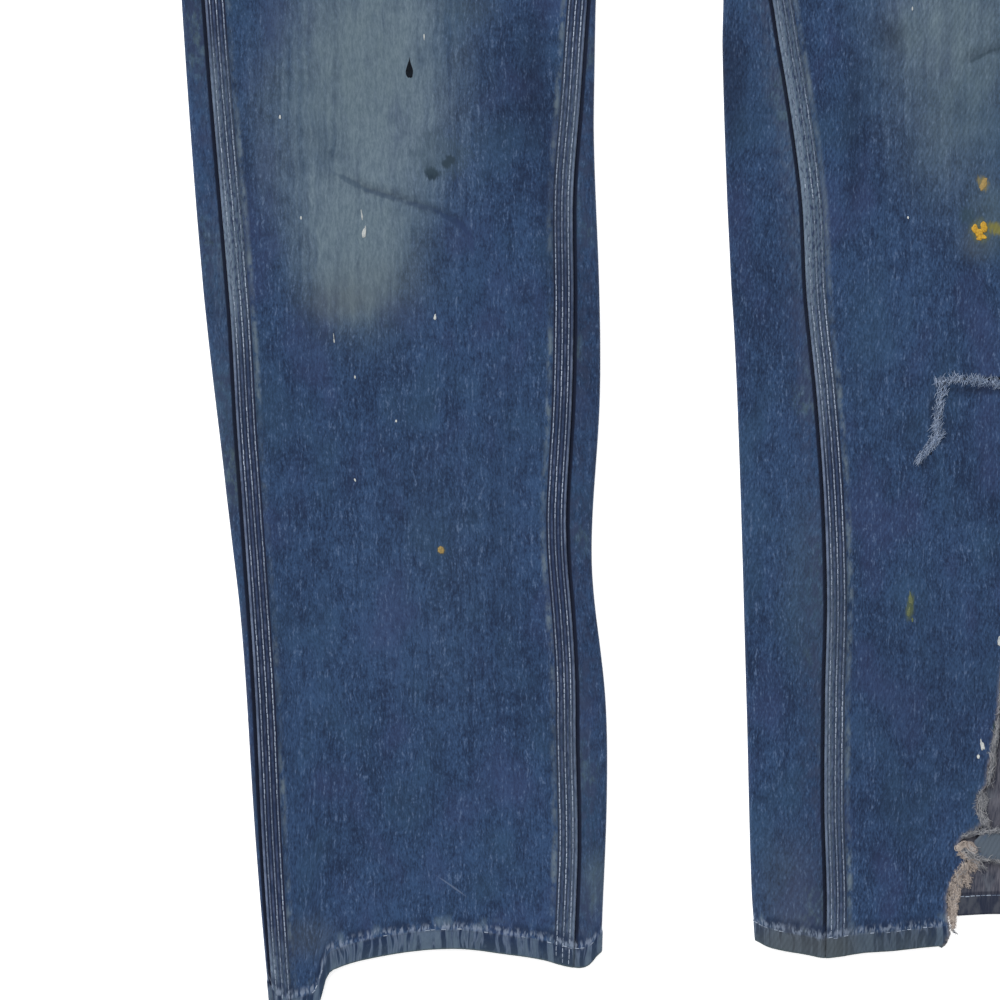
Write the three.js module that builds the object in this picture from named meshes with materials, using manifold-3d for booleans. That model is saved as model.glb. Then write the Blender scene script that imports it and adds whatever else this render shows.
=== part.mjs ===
// Paint-spattered denim dungarees, laid out flat on their back with the front facing up.
// Millimetres. +Z is up from the surface they lie on, +Y runs from the hems to the shoulder folds,
// and +X points to the wearer's left leg. The pattern frame used while building has x = 0 on the
// centre seams and y = 0 at the hems; the last lines move it to the middle of the footprint.
import * as THREE from "three";
import Module from "manifold-3d";
import { mergeVertices } from "three/addons/utils/BufferGeometryUtils.js";

const wasm = await Module();
wasm.setup();

// Driving dimensions.
const clothThick = 1.2; // one ply of heavy denim
const frontHeight = 4.6; // outer face of the front layer over the floor, away from the edges
const bibHeight = 3.2; // and of the front bib, which lies closer
const rollRadius = 3.1; // outer radius of the fold along a leg's side
const rollReach = 32; // how far in from a fold the front layer still rides high
const seamGap = 0.3; // between two panels that are sewn together
const bandWidth = 13.5; // lapped and triple-stitched seam
const bandRaise = 1; // what the lap adds to the front panel's edge
const hemDepth = 14;
const hemRaise = 0.9;
const stepRun = 1.2; // length over which a band or hem drops to a single ply
const crotchY = 810;
const crotchBlend = 30; // length over which the inner folds open out above the crotch
const hemBlend = 200; // height by which the hem's own curve has died out
const waistY = 1118;
const waistbandFrom = 1104;
const waistbandTo = 1140;
const waistbandEnd = 25; // from the side fold to the end of the waistband
const bibTop = 1400;
const backTop = 1440;
const shoulderY = 1555;
const buttonPlace = { x: 97, y: 1372 };
const shoulderX = 80;
const strapFootX = 38;
const strapWidth = 36;
const strapThick = 1.4;
const strapRun = 4.6; // mid-height of a strap's upper run at the slider
const strapRest = 3; // and at the shoulder fold
const strapLap = 22; // how far a strap overlaps the back bib it is sewn to
const buckleThick = 1.8;
const clearance = 0.3; // between hardware and cloth that touch

// Each leg's outline and seam routes. outer and inner are [y, x] pairs of the side folds,
// outseam is [y, distance] from the outer fold's crest, positive on top and negative underneath,
// inseam is [y, distance] from the inner fold's crest, and the hems are [share of width, y].
const rightLeg = {
  outer: [[-46, -259], [0, -262.5], [102, -272.5], [238, -283], [442, -306.5], [646, -322],
    [810, -330], [960, -306], [1118, -258]],
  inner: [[-46, -37], [0, -36.5], [102, -32.6], [170, -33.5], [265, -42.8], [374, -37.4],
    [442, -37.5], [560, -41.5], [646, -40], [710, -35], [765, -21], [797, -7], [810, 0]],
  outseam: [[-46, 3.5], [34, 5.3], [136, 7.3], [238, 8.8], [340, 13.3], [442, 18.8], [646, 17.6],
    [810, 17.3], [960, 20], [1118, 26]],
  inseam: [[-46, 20.6], [68, 20.6], [150, 22.7], [238, 17.9], [306, 20], [374, 20.6], [442, 19.3],
    [510, 17.2], [578, 10.7], [646, 7.5], [730, 4], [810, 0]],
  hem: [[0, -34], [0.04, -45], [0.12, -44], [0.15, -38], [0.175, -18], [0.21, -12], [0.3, -6],
    [0.45, -0.5], [0.58, 0.7], [0.7, -2.5], [0.82, -6.5], [0.91, -11.5], [0.96, -10.5], [1, 0]],
  backHem: [[0, -34], [0.04, -43], [0.12, -42], [0.15, -34], [0.175, -15], [0.21, -9], [0.3, -4],
    [0.45, 1.5], [0.58, 2.7], [0.7, -0.5], [0.82, -4.5], [0.91, -9], [0.96, -8], [1, 0]],
};
const leftLeg = {
  outer: [[-10, 293], [0, 294], [102, 302], [238, 309], [442, 320], [646, 328], [810, 334],
    [960, 309], [1118, 260]],
  inner: [[-10, 69], [34, 65.5], [170, 62], [374, 55.8], [510, 49], [612, 45.7], [660, 46],
    [715, 40], [768, 24], [798, 8], [810, 0]],
  outseam: [[-10, 7], [306, 9], [646, 12], [810, 15], [960, 20], [1118, 26]],
  inseam: [[-10, 48.3], [34, 52.8], [102, 53], [170, 55], [238, 58.3], [306, 58.3], [374, 55.8],
    [442, 52.3], [510, 52.3], [578, 45.8], [646, 34.8], [700, 22], [760, 9], [810, 0]],
  hem: [[0, 8], [0.04, 0], [0.106, 0], [0.24, 4], [0.42, 3], [0.504, 1.4], [0.588, -0.7],
    [0.673, -2], [0.757, -4.8], [0.798, -5.4], [0.84, -3.4], [0.925, 0], [0.967, 2.7], [1, 7]],
  backHem: [[0, 8], [0.2, 23], [0.4, 23], [0.6, 20], [0.9, 10], [1, 7]],
};
// The rip at the left front hem, as a closed outline round the tongue of cloth that is left across
// it, and the right-angled slash above it.
const hemRip = [[202, -15], [201, 8], [199.3, 22], [198.8, 35], [200.3, 41], [202.5, 46],
  [205.5, 51], [210, 57], [212.5, 62], [211, 67], [206, 71], [210, 77], [218, 81.5], [224.5, 86.5],
  [221.5, 92], [219.3, 96], [220.3, 105], [226, 112], [226.8, 120], [229, 133], [231, 143],
  [233.5, 159], [234.5, 172], [237, 196], [240.5, 176], [242.5, 150], [243.5, 118], [243, 98],
  [241, 87], [235, 82.5], [222, 79.5], [217, 74], [217.5, 65], [224, 61], [240, 60], [252, 56],
  [257, 25], [260, -15]];
const slash = [[187, 338], [192.4, 353], [194, 372], [196, 386], [212, 388], [234, 389], [250, 386]];
const slashWidth = 1.6;
// Half-widths of the two bibs as [y, x].
const bibHalf = [[1118, 231], [1140, 226], [1165, 190], [1200, 160], [1250, 140], [1320, 129],
  [1400, 125]];
const backBibHalf = [[1118, 251], [1140, 245], [1170, 205], [1210, 163], [1270, 116], [1340, 82],
  [1440, 60]];
const legRows = [0, hemDepth, hemDepth + stepRun, 34, 68, 102, 136, 170, 238, 306, 374, 442, 510,
  578, 646, 710, 765, 795, 810, 826, 850, 900, 960, 1020, 1070, waistY];
const buttonHead = 8.5;
const buttonHeight = 2.4;

const clamp = (v, low, high) => Math.min(high, Math.max(low, v));
const smooth = (low, high, v) => {
  const t = clamp((v - low) / (high - low), 0, 1);
  return t * t * (3 - 2 * t);
};

// A smooth curve through [position, value] pairs, level beyond its ends.
function through(pairs, at) {
  const last = pairs.length - 1;
  if (at <= pairs[0][0]) return pairs[0][1];
  if (at >= pairs[last][0]) return pairs[last][1];
  let i = 0;
  while (at > pairs[i + 1][0]) i += 1;
  const slope = (k) => {
    const a = pairs[Math.max(0, k - 1)];
    const b = pairs[Math.min(last, k + 1)];
    return (b[1] - a[1]) / (b[0] - a[0]);
  };
  const run = pairs[i + 1][0] - pairs[i][0];
  const t = (at - pairs[i][0]) / run;
  const t2 = t * t;
  const t3 = t2 * t;
  return (2 * t3 - 3 * t2 + 1) * pairs[i][1] + (t3 - 2 * t2 + t) * run * slope(i)
    + (3 * t2 - 2 * t3) * pairs[i + 1][1] + (t3 - t2) * run * slope(i + 1);
}

// The leg's section at height y: its folds' places, its width and how open the inner fold is.
function section(leg, y) {
  const outer = through(leg.outer, y);
  const inner = y >= crotchY ? 0 : through(leg.inner, y);
  const facing = Math.sign(leg.outer[0][1] - leg.inner[0][1]);
  const innerEdge = inner + facing * (seamGap / 2);
  const closed = 1 - smooth(crotchY, crotchY + crotchBlend, y);
  const width = Math.abs(outer - innerEdge);
  const quarter = (Math.PI / 2) * rollRadius;
  const flat = width - rollRadius - rollRadius * closed;
  return { outer, facing, closed, width, quarter, flat, half: flat + 2 * quarter };
}

// A point of the leg's outer face. along is the arc length from the outer fold's crest, over the
// top when positive and under the leg when negative; past half it goes on round the inner fold.
function ringPoint(leg, along, y) {
  const s = section(leg, y);
  const around = along > s.half ? along - 2 * s.half : along;
  const reach = Math.abs(around);
  const up = around >= 0 ? 1 : -1;
  let inward = 0;
  let z = 0;
  if (reach < s.quarter) {
    const angle = reach / rollRadius;
    inward = rollRadius * (1 - Math.cos(angle));
    z = rollRadius * (1 + up * Math.sin(angle));
  } else if (reach < s.quarter + s.flat) {
    inward = rollRadius + reach - s.quarter;
    const fromOuter = (reach - s.quarter) / rollReach;
    const fromInner = (s.quarter + s.flat - reach) / rollReach;
    const ride = Math.min(1, Math.exp(-fromOuter * fromOuter)
      + s.closed * Math.exp(-fromInner * fromInner));
    z = up > 0 ? frontHeight + (2 * rollRadius - frontHeight) * ride : 0;
  } else {
    const angle = (s.half - reach) / rollRadius;
    const top = frontHeight + (2 * rollRadius - frontHeight) * s.closed;
    inward = s.width - rollRadius * s.closed * (1 - Math.cos(angle));
    z = (top / 2) * (1 + up * Math.sin(angle));
  }
  return new THREE.Vector3(s.outer - s.facing * inward, y, z);
}

// The same point with the hem's curve added to its height, its ply laid outwards and inwards.
function plies(leg, along, row, raise) {
  const level = ringPoint(leg, along, row);
  const s = section(leg, row);
  const share = clamp(Math.abs(level.x - s.outer) / s.width, 0, 1);
  const around = along > s.half ? along - 2 * s.half : along;
  const hemCurve = through(around >= 0 ? leg.hem : leg.backHem, share);
  const y = row + hemCurve * (1 - smooth(0, hemBlend, row));
  const nudge = 0.2;
  const tangent = ringPoint(leg, along + nudge, row).sub(ringPoint(leg, along - nudge, row));
  const normal = new THREE.Vector3(-tangent.z * s.facing, 0, tangent.x * s.facing).normalize();
  const outwards = normal.multiplyScalar(-1);
  const top = smooth(rollRadius, 1.6 * rollRadius, level.z);
  const point = ringPoint(leg, along, row).setY(y);
  return {
    outer: point.clone().setZ(point.z + raise * top),
    inner: point.clone().addScaledVector(outwards, -clothThick - raise * (1 - top)),
  };
}

// A closed solid between two grids of points, rows by columns.
function wall(outer, inner) {
  const rows = outer.length;
  const columns = outer[0].length;
  const points = [...outer.flat(), ...inner.flat()];
  const start = rows * columns;
  const at = (r, c, side) => side * start + r * columns + c;
  const faces = [];
  const quad = (a, b, c, d) => faces.push(a, b, c, a, c, d);
  for (let r = 0; r + 1 < rows; r += 1) {
    for (let c = 0; c + 1 < columns; c += 1) {
      quad(at(r, c, 0), at(r, c + 1, 0), at(r + 1, c + 1, 0), at(r + 1, c, 0));
      quad(at(r, c, 1), at(r + 1, c, 1), at(r + 1, c + 1, 1), at(r, c + 1, 1));
    }
    quad(at(r, 0, 0), at(r + 1, 0, 0), at(r + 1, 0, 1), at(r, 0, 1));
    quad(at(r, columns - 1, 0), at(r, columns - 1, 1), at(r + 1, columns - 1, 1),
      at(r + 1, columns - 1, 0));
  }
  for (let c = 0; c + 1 < columns; c += 1) {
    quad(at(0, c, 0), at(0, c, 1), at(0, c + 1, 1), at(0, c + 1, 0));
    quad(at(rows - 1, c, 0), at(rows - 1, c + 1, 0), at(rows - 1, c + 1, 1), at(rows - 1, c, 1));
  }
  let volume = 0;
  for (let i = 0; i < faces.length; i += 3) {
    const [a, b, c] = [points[faces[i]], points[faces[i + 1]], points[faces[i + 2]]];
    volume += a.dot(new THREE.Vector3().crossVectors(b, c));
  }
  if (volume < 0) faces.reverse();
  const geometry = new THREE.BufferGeometry().setFromPoints(points);
  geometry.setIndex(faces);
  return geometry;
}

// Sorted places between from and to, kept a little apart so that no two columns meet.
function spaced(from, to, wanted) {
  const least = 0.4;
  const places = [from, ...wanted, to].map((v) => clamp(v, from, to)).sort((a, b) => a - b);
  const last = places.length - 1;
  for (let i = 1; i <= last; i += 1) places[i] = Math.max(places[i], places[i - 1] + least);
  places[last] = to;
  for (let i = last - 1; i > 0; i -= 1) places[i] = Math.min(places[i], places[i + 1] - least);
  return places;
}

const foldSteps = [-1, -0.5, 0, 0.5, 1];

// One leg panel. piece is "front" or "back"; a front panel's seam edges carry the raised lap.
function legPanel(leg, piece) {
  const outer = [];
  const inner = [];
  legRows.forEach((row) => {
    const s = section(leg, row);
    const outseam = through(leg.outseam, row);
    const above = smooth(crotchY, crotchY + crotchBlend, row);
    const gap = seamGap / 2;
    const below = s.half - through(leg.inseam, row);
    const lap = bandWidth + stepRun;
    let places;
    let edges;
    if (piece === "front") {
      const to = row > crotchY ? s.half - s.quarter * above : below - gap;
      const from = outseam + gap;
      const middle = [0.12, 0.26, 0.42, 0.58, 0.74, 0.88].map((t) => from + t * (to - from));
      places = spaced(from, to, [...foldSteps.map((t) => t * s.quarter), from + bandWidth,
        from + lap, ...middle, to - lap, to - bandWidth]);
      const openCentre = leg === rightLeg && row > crotchY; // the left front laps over the right
      edges = places.map((p) => Math.min(p - from, openCentre ? Infinity : to - p));
    } else {
      const from = row > crotchY ? s.half + s.quarter * above : below + gap;
      const to = 2 * s.half + outseam - gap;
      const bottom = [0.06, 0.2, 0.4, 0.6, 0.8, 0.94].map((t) => s.half + s.quarter + t * s.flat);
      places = spaced(from, to, [...foldSteps.map((t) => s.half + t * s.quarter), ...bottom,
        ...foldSteps.map((t) => 2 * s.half + t * s.quarter)]);
      edges = places.map(() => Infinity);
    }
    const hemmed = row <= hemDepth ? hemRaise : 0;
    const pairs = places.map((p, i) => {
      const banded = edges[i] <= bandWidth + 0.01 ? bandRaise : 0;
      return plies(leg, p, row, hemmed + banded);
    });
    outer.push(pairs.map((p) => p.outer));
    inner.push(pairs.map((p) => p.inner));
  });
  return wall(outer, inner);
}

// Height of the front layer's outer face at any place above the crotch.
function frontFace(x, y) {
  const leg = x < 0 ? rightLeg : leftLeg;
  const fromFold = Math.max(0, Math.abs(x - through(leg.outer, y)) - rollRadius) / rollReach;
  const ride = Math.exp(-fromFold * fromFold);
  const settle = smooth(waistbandTo, waistbandTo + 80, y);
  const body = frontHeight + (2 * rollRadius - frontHeight) * ride;
  return body + (bibHeight - body) * settle;
}

// A flat or nearly flat piece: half-width by height, a face height and its thickness.
function sheetPanel(half, rows, columns, faceAt, thick) {
  const across = Array.from({ length: columns + 1 }, (_, i) => -1 + (2 * i) / columns);
  const outer = rows.map((y) => across.map((t) => {
    const x = t * half(y, t);
    return new THREE.Vector3(x, y, faceAt(x, y));
  }));
  const inner = outer.map((row) => row.map((p) => p.clone().setZ(p.z - thick)));
  return wall(outer, inner);
}

// A ribbon as wide as the strap that follows a route of {x, y, z} mid-points; turn is the plan
// angle of its width.
function ribbon(route) {
  const outer = [];
  const inner = [];
  route.forEach((p, i) => {
    const before = route[Math.max(0, i - 1)];
    const after = route[Math.min(route.length - 1, i + 1)];
    const tangent = new THREE.Vector3(after.x - before.x, after.y - before.y, after.z - before.z);
    const across = new THREE.Vector3(Math.cos(p.turn), Math.sin(p.turn), 0);
    const normal = across.clone().cross(tangent).normalize();
    const place = (edge, face) => new THREE.Vector3(p.x, p.y, p.z)
      .addScaledVector(across, edge * (strapWidth / 2))
      .addScaledVector(normal, face * (strapThick / 2));
    outer.push([place(-1, 1), place(1, 1)]);
    inner.push([place(-1, -1), place(1, -1)]);
  });
  return wall(outer, inner);
}

// Buckle and slider levels follow from what they lie on.
const returnRun = bibHeight + clearance + strapThick / 2;
const buckleFoot = returnRun + strapThick / 2 + clearance;
const barTop = buckleFoot + buckleThick;
const strapOverBar = barTop + clearance + strapThick / 2;
const barFrom = 29; // from the button's centre up to the buckle's strap bar
const barTo = 34;
const sliderAt = 95; // from the button's centre up to the slider's
const sliderFoot = strapRun + strapThick / 2 + clearance;
const sliderTop = sliderFoot + buckleThick + clearance + strapThick / 2;
const lean = Math.atan2(buttonPlace.x - shoulderX, shoulderY - buttonPlace.y);
const shoulderAt = (shoulderY - buttonPlace.y) / Math.cos(lean);

// A place on the strap's front run, d along it from the button.
const onStrap = (side, d) => ({
  x: side * (buttonPlace.x - d * Math.sin(lean)), y: buttonPlace.y + d * Math.cos(lean),
});

// A strap from the tip of its sewn return, round the buckle's bar, through the slider, over the
// shoulder fold and down to the back bib.
function strapRoute(side) {
  const route = [];
  const front = (d, z) => {
    const upright = smooth(sliderAt + 20, shoulderAt - 5, d);
    route.push({ ...onStrap(side, d), z, turn: side * lean * (1 - upright) });
  };
  const lowRun = strapRun - 1.8;
  [80, 66, 52, 38, 24, 12, 4].forEach((d) => {
    front(barFrom + d, lowRun + (returnRun - lowRun) * (1 - smooth(4, 40, d)));
  });
  const barMid = (returnRun + strapOverBar) / 2;
  const turn = (strapOverBar - returnRun) / 2;
  for (let i = 0; i <= 8; i += 1) {
    const angle = -Math.PI / 2 - (Math.PI * i) / 8;
    front(barFrom + turn * Math.cos(angle), barMid + turn * Math.sin(angle));
  }
  [6, 14, 24, 36, 46].forEach((d) => {
    front(barFrom + d, strapRun + (strapOverBar - strapRun) * (1 - smooth(6, 46, d)));
  });
  [-9.3, -7.4, -5.5, -3.6, -1.7, 0, 1.7, 3.6, 5.5, 7.4, 9.3].forEach((d) => {
    front(sliderAt + d, strapRun + (sliderTop - strapRun) * (1 - smooth(1.7, 9.3, Math.abs(d))));
  });
  [25, 45, 65, 80].forEach((d) => {
    front(sliderAt + d, strapRun + (strapRest - strapRun) * smooth(15, 75, d));
  });
  const low = strapThick / 2;
  const foldTurn = (strapRest - low) / 2;
  for (let i = 0; i <= 8; i += 1) {
    const angle = Math.PI / 2 - (Math.PI * i) / 8;
    route.push({ x: side * shoulderX, y: shoulderY - foldTurn + foldTurn * Math.cos(angle),
      z: low + foldTurn + foldTurn * Math.sin(angle), turn: 0 });
  }
  const spread = (shoulderX - strapFootX) / (shoulderY - backTop);
  const back = (y, z) => {
    const x = y > backTop ? strapFootX + spread * (y - backTop) : strapFootX;
    route.push({ x: side * x, y, z, turn: 0 });
  };
  const laidOn = clothThick + clearance + strapThick / 2;
  [shoulderY - 30, shoulderY - 65, backTop + 12].forEach((y) => back(y, low));
  [backTop + 9, backTop + 6, backTop + 3].forEach((y) => {
    back(y, low + (laidOn - low) * (1 - smooth(backTop + 3, backTop + 12, y)));
  });
  back(backTop - strapLap / 2, laidOn);
  back(backTop - strapLap, laidOn);
  return route;
}

// A flat metal plate from an outline, set on the strap's line at its own height.
function plate(outline, side, d, foot) {
  const geometry = new THREE.ExtrudeGeometry(outline, {
    depth: buckleThick, bevelEnabled: false, curveSegments: 8,
  });
  const place = onStrap(side, d);
  return geometry.rotateZ(side * lean).translate(place.x, place.y, foot);
}

// The buckle: a strap slot across the top and a keyhole that hooks under the button's head.
function buckleOutline() {
  const foot = 14;
  const shoulder = 23;
  const corner = 5;
  const outline = new THREE.Shape();
  outline.absarc(0, 0, foot, Math.PI + 0.35, -0.35, false);
  outline.quadraticCurveTo(16.5, 6, shoulder, 21);
  outline.lineTo(shoulder, barTo - corner);
  outline.absarc(shoulder - corner, barTo - corner, corner, 0, Math.PI / 2, false);
  outline.absarc(corner - shoulder, barTo - corner, corner, Math.PI / 2, Math.PI, false);
  outline.lineTo(-shoulder, 21);
  outline.quadraticCurveTo(-16.5, 6, -foot * Math.cos(0.35), -foot * Math.sin(0.35));
  const slot = new THREE.Path();
  const slotHalf = strapWidth / 2 + 1;
  slot.moveTo(-slotHalf, 23.5);
  slot.lineTo(-slotHalf, barFrom);
  slot.lineTo(slotHalf, barFrom);
  slot.lineTo(slotHalf, 23.5);
  const keyhole = new THREE.Path();
  const neck = 4.2;
  const eye = 9;
  const eyeY = 12;
  const meetY = (eyeY * eyeY + neck * neck - eye * eye) / (2 * eyeY);
  const meetX = Math.sqrt(neck * neck - meetY * meetY);
  const neckAngle = Math.atan2(meetY, meetX);
  const eyeAngle = Math.atan2(meetY - eyeY, meetX);
  keyhole.absarc(0, 0, neck, neckAngle, Math.PI - neckAngle, true);
  keyhole.absarc(0, eyeY, eye, Math.PI - eyeAngle, eyeAngle, true);
  outline.holes.push(slot, keyhole);
  return outline;
}

// The slider: a frame with a bar across its middle, so that it has two windows.
function sliderOutline() {
  const halfWide = 24;
  const halfHigh = 12.7;
  const window = strapWidth / 2 + 1;
  const outline = new THREE.Shape();
  outline.moveTo(-halfWide, -halfHigh);
  outline.lineTo(halfWide, -halfHigh);
  outline.lineTo(halfWide, halfHigh);
  outline.lineTo(-halfWide, halfHigh);
  [-1, 1].forEach((end) => {
    const hole = new THREE.Path();
    hole.moveTo(-window, end * 1.5);
    hole.lineTo(window, end * 1.5);
    hole.lineTo(window, end * 9.5);
    hole.lineTo(-window, end * 9.5);
    outline.holes.push(hole);
  });
  return outline;
}

// A turned button: a washer on the cloth, a shank and a domed head.
function button(x, y, foot, headFoot) {
  const top = headFoot + buttonHeight;
  const profile = headFoot - foot > 1
    ? [[0, foot], [5, foot], [5, foot + 0.8], [2.2, foot + 0.8], [2.2, headFoot]]
    : [[0, headFoot]];
  profile.push([buttonHead - 0.7, headFoot], [buttonHead, headFoot + 0.7], [buttonHead, top - 1],
    [buttonHead - 1.2, top - 0.1], [buttonHead - 2.6, top], [3.4, top - 0.6], [0, top - 0.5]);
  const turned = new THREE.LatheGeometry(profile.map(([r, h]) => new THREE.Vector2(r, h)), 16);
  return turned.rotateX(Math.PI / 2).translate(x, y, 0);
}

// A closed geometry as a manifold-3d solid, and back.
function solidOf(geometry) {
  const bare = geometry.clone();
  bare.deleteAttribute("normal");
  bare.deleteAttribute("uv");
  const merged = mergeVertices(bare, 1e-4);
  return new wasm.Manifold(new wasm.Mesh({
    numProp: 3,
    vertProperties: new Float32Array(merged.attributes.position.array),
    triVerts: new Uint32Array(merged.index.array),
  }));
}

function geometryOf(solid) {
  const mesh = solid.getMesh();
  const geometry = new THREE.BufferGeometry();
  geometry.setAttribute("position", new THREE.BufferAttribute(mesh.vertProperties, 3));
  geometry.setIndex(new THREE.BufferAttribute(mesh.triVerts, 1));
  return geometry;
}

// A cutter that goes through the front layer and stops above the back one.
function cutter(points) {
  const outline = new THREE.Shape(points.map(([x, y]) => new THREE.Vector2(x, y)));
  const prism = new THREE.ExtrudeGeometry(outline, { depth: 12, bevelEnabled: false });
  return solidOf(prism.translate(0, 0, clothThick + hemRaise + 0.1));
}

// The slash as a narrow strip along its route.
function slashStrip() {
  const side = (end) => slash.map((p, i) => {
    const a = slash[Math.max(0, i - 1)];
    const b = slash[Math.min(slash.length - 1, i + 1)];
    const length = Math.hypot(b[0] - a[0], b[1] - a[1]);
    const half = (end * slashWidth) / 2;
    return [p[0] - (half * (b[1] - a[1])) / length, p[1] + (half * (b[0] - a[0])) / length];
  });
  return [...side(-1), ...side(1).reverse()];
}

const denim = new THREE.MeshStandardMaterial({ color: 0x3a5378, roughness: 0.92, metalness: 0 });
const brass = new THREE.MeshStandardMaterial({ color: 0x9a8a68, roughness: 0.42, metalness: 1 });
const laid = new THREE.Group();

function add(name, geometry, material) {
  geometry.computeVertexNormals();
  const mesh = new THREE.Mesh(geometry, material);
  mesh.name = name;
  laid.add(mesh);
}

// Leg panels; the left front carries the damage.
add("right_leg_front", legPanel(rightLeg, "front"), denim);
add("right_leg_back", legPanel(rightLeg, "back"), denim);
add("left_leg_back", legPanel(leftLeg, "back"), denim);
const wholeFront = solidOf(legPanel(leftLeg, "front"));
const tornFront = wholeFront.subtract(cutter(hemRip)).subtract(cutter(slashStrip()));
add("left_leg_front", geometryOf(tornFront), denim);

// Front bib, back bib and waistband.
const bibRows = [waistY + seamGap, 1140, 1152, 1165, 1182, 1200, 1225, 1250, 1290, 1345, bibTop];
add("bib_front", sheetPanel((y) => through(bibHalf, y), bibRows, 8, frontFace, clothThick), denim);
const backRows = [waistY + seamGap, 1140, 1155, 1170, 1190, 1210, 1240, 1270, 1310, 1370, backTop];
add("bib_back", sheetPanel((y) => through(backBibHalf, y), backRows, 8, () => clothThick,
  clothThick), denim);
const bandTop = (x, y) => frontFace(x, y) + bandRaise + clearance + clothThick;
const bandHalf = (y, t) => Math.abs(through(t < 0 ? rightLeg.outer : leftLeg.outer, waistbandFrom))
  - waistbandEnd;
add("waistband", sheetPanel(bandHalf, [waistbandFrom, waistbandFrom + 18, waistbandTo], 16,
  bandTop, clothThick), denim);

// Straps with their hardware, and the buttons.
[["right", -1], ["left", 1]].forEach(([name, side]) => {
  const x = side * buttonPlace.x;
  add(`strap_${name}`, ribbon(strapRoute(side)), denim);
  add(`strap_buckle_${name}`, plate(buckleOutline(), side, 0, buckleFoot), brass);
  add(`strap_slider_${name}`, plate(sliderOutline(), side, sliderAt, sliderFoot), brass);
  add(`bib_button_${name}`, button(x, buttonPlace.y, bibHeight + clearance, barTop + clearance),
    brass);
  const leg = side < 0 ? rightLeg : leftLeg;
  const placeX = (y) => through(leg.outer, y) - side * (waistbandEnd + 13);
  const upper = { x: placeX(1122), y: 1122 };
  const lower = { x: placeX(1062), y: 1062 };
  const upperFoot = bandTop(upper.x + side * buttonHead, upper.y) + clearance;
  const lowerFoot = frontFace(lower.x + side * buttonHead, lower.y) + bandRaise + clearance;
  add(`waist_button_${name}`, button(upper.x, upper.y, upperFoot, upperFoot), brass);
  add(`hip_button_${name}`, button(lower.x, lower.y, lowerFoot, lowerFoot), brass);
});

// The part's origin is the middle of the footprint, on the surface.
const extent = new THREE.Box3().setFromObject(laid);
const centre = extent.getCenter(new THREE.Vector3());
laid.position.set(-centre.x, -centre.y, 0);
const dungarees = new THREE.Group();
dungarees.add(laid);

export default dungarees;
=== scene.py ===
import bpy
import bmesh
import math
import numpy as np
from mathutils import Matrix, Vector
from types import SimpleNamespace


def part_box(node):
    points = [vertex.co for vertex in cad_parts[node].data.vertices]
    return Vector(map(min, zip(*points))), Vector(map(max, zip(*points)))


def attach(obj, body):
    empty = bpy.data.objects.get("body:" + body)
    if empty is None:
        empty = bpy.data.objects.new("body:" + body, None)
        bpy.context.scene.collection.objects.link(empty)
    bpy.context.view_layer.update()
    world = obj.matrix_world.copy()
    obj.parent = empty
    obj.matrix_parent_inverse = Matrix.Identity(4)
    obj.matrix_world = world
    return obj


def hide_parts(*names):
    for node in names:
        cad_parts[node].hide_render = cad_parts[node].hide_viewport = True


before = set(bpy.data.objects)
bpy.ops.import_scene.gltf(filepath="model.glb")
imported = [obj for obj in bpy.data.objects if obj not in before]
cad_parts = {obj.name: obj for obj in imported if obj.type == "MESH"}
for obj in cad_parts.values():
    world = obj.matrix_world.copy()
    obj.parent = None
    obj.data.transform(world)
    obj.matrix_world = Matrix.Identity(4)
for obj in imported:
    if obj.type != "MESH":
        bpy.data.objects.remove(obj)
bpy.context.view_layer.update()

# Everything is worked out in millimetres on the paper pattern, where x = 0 is the centre seam and
# y = 0 the hems, and moved onto the frame by place().
pattern = {
    "gap": 0.3,
    "tuck": 0.9,  # how far a back panel reaches under the front's fold
    "rollRadius": 3.1,
    "rollReach": 32.0,
    "frontHeight": 4.6,
    "bibHeight": 3.2,
    "bandWidth": 13.5,
    "bandRaise": 1.0,
    "hemDepth": 14.0,
    "hemRaise": 0.9,
    "hemRow": 13.2,
    "ply": 1.1,
    "backPly": 2.0,  # at a back panel's turned hem
    "single": 0.55,  # the share of it that the single cloth has
    "crotchY": 810.0,
    "crotchBlend": 30.0,
    "hemBlend": 200.0,
    "waistY": 1118.0,
    "stitchRows": (3.2, 7.5, 11.9),  # from the seam's folded edge
    "backColumns": (22, 8, 44, 8, 10),  # front strip, fold, underside, fold, front strip
    "leftWeave": 2000,  # the left leg's cloth comes from further along the weave
    "lapped": 60.0,  # puts the right front's inner edge out of the seam looks' reach
}

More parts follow.
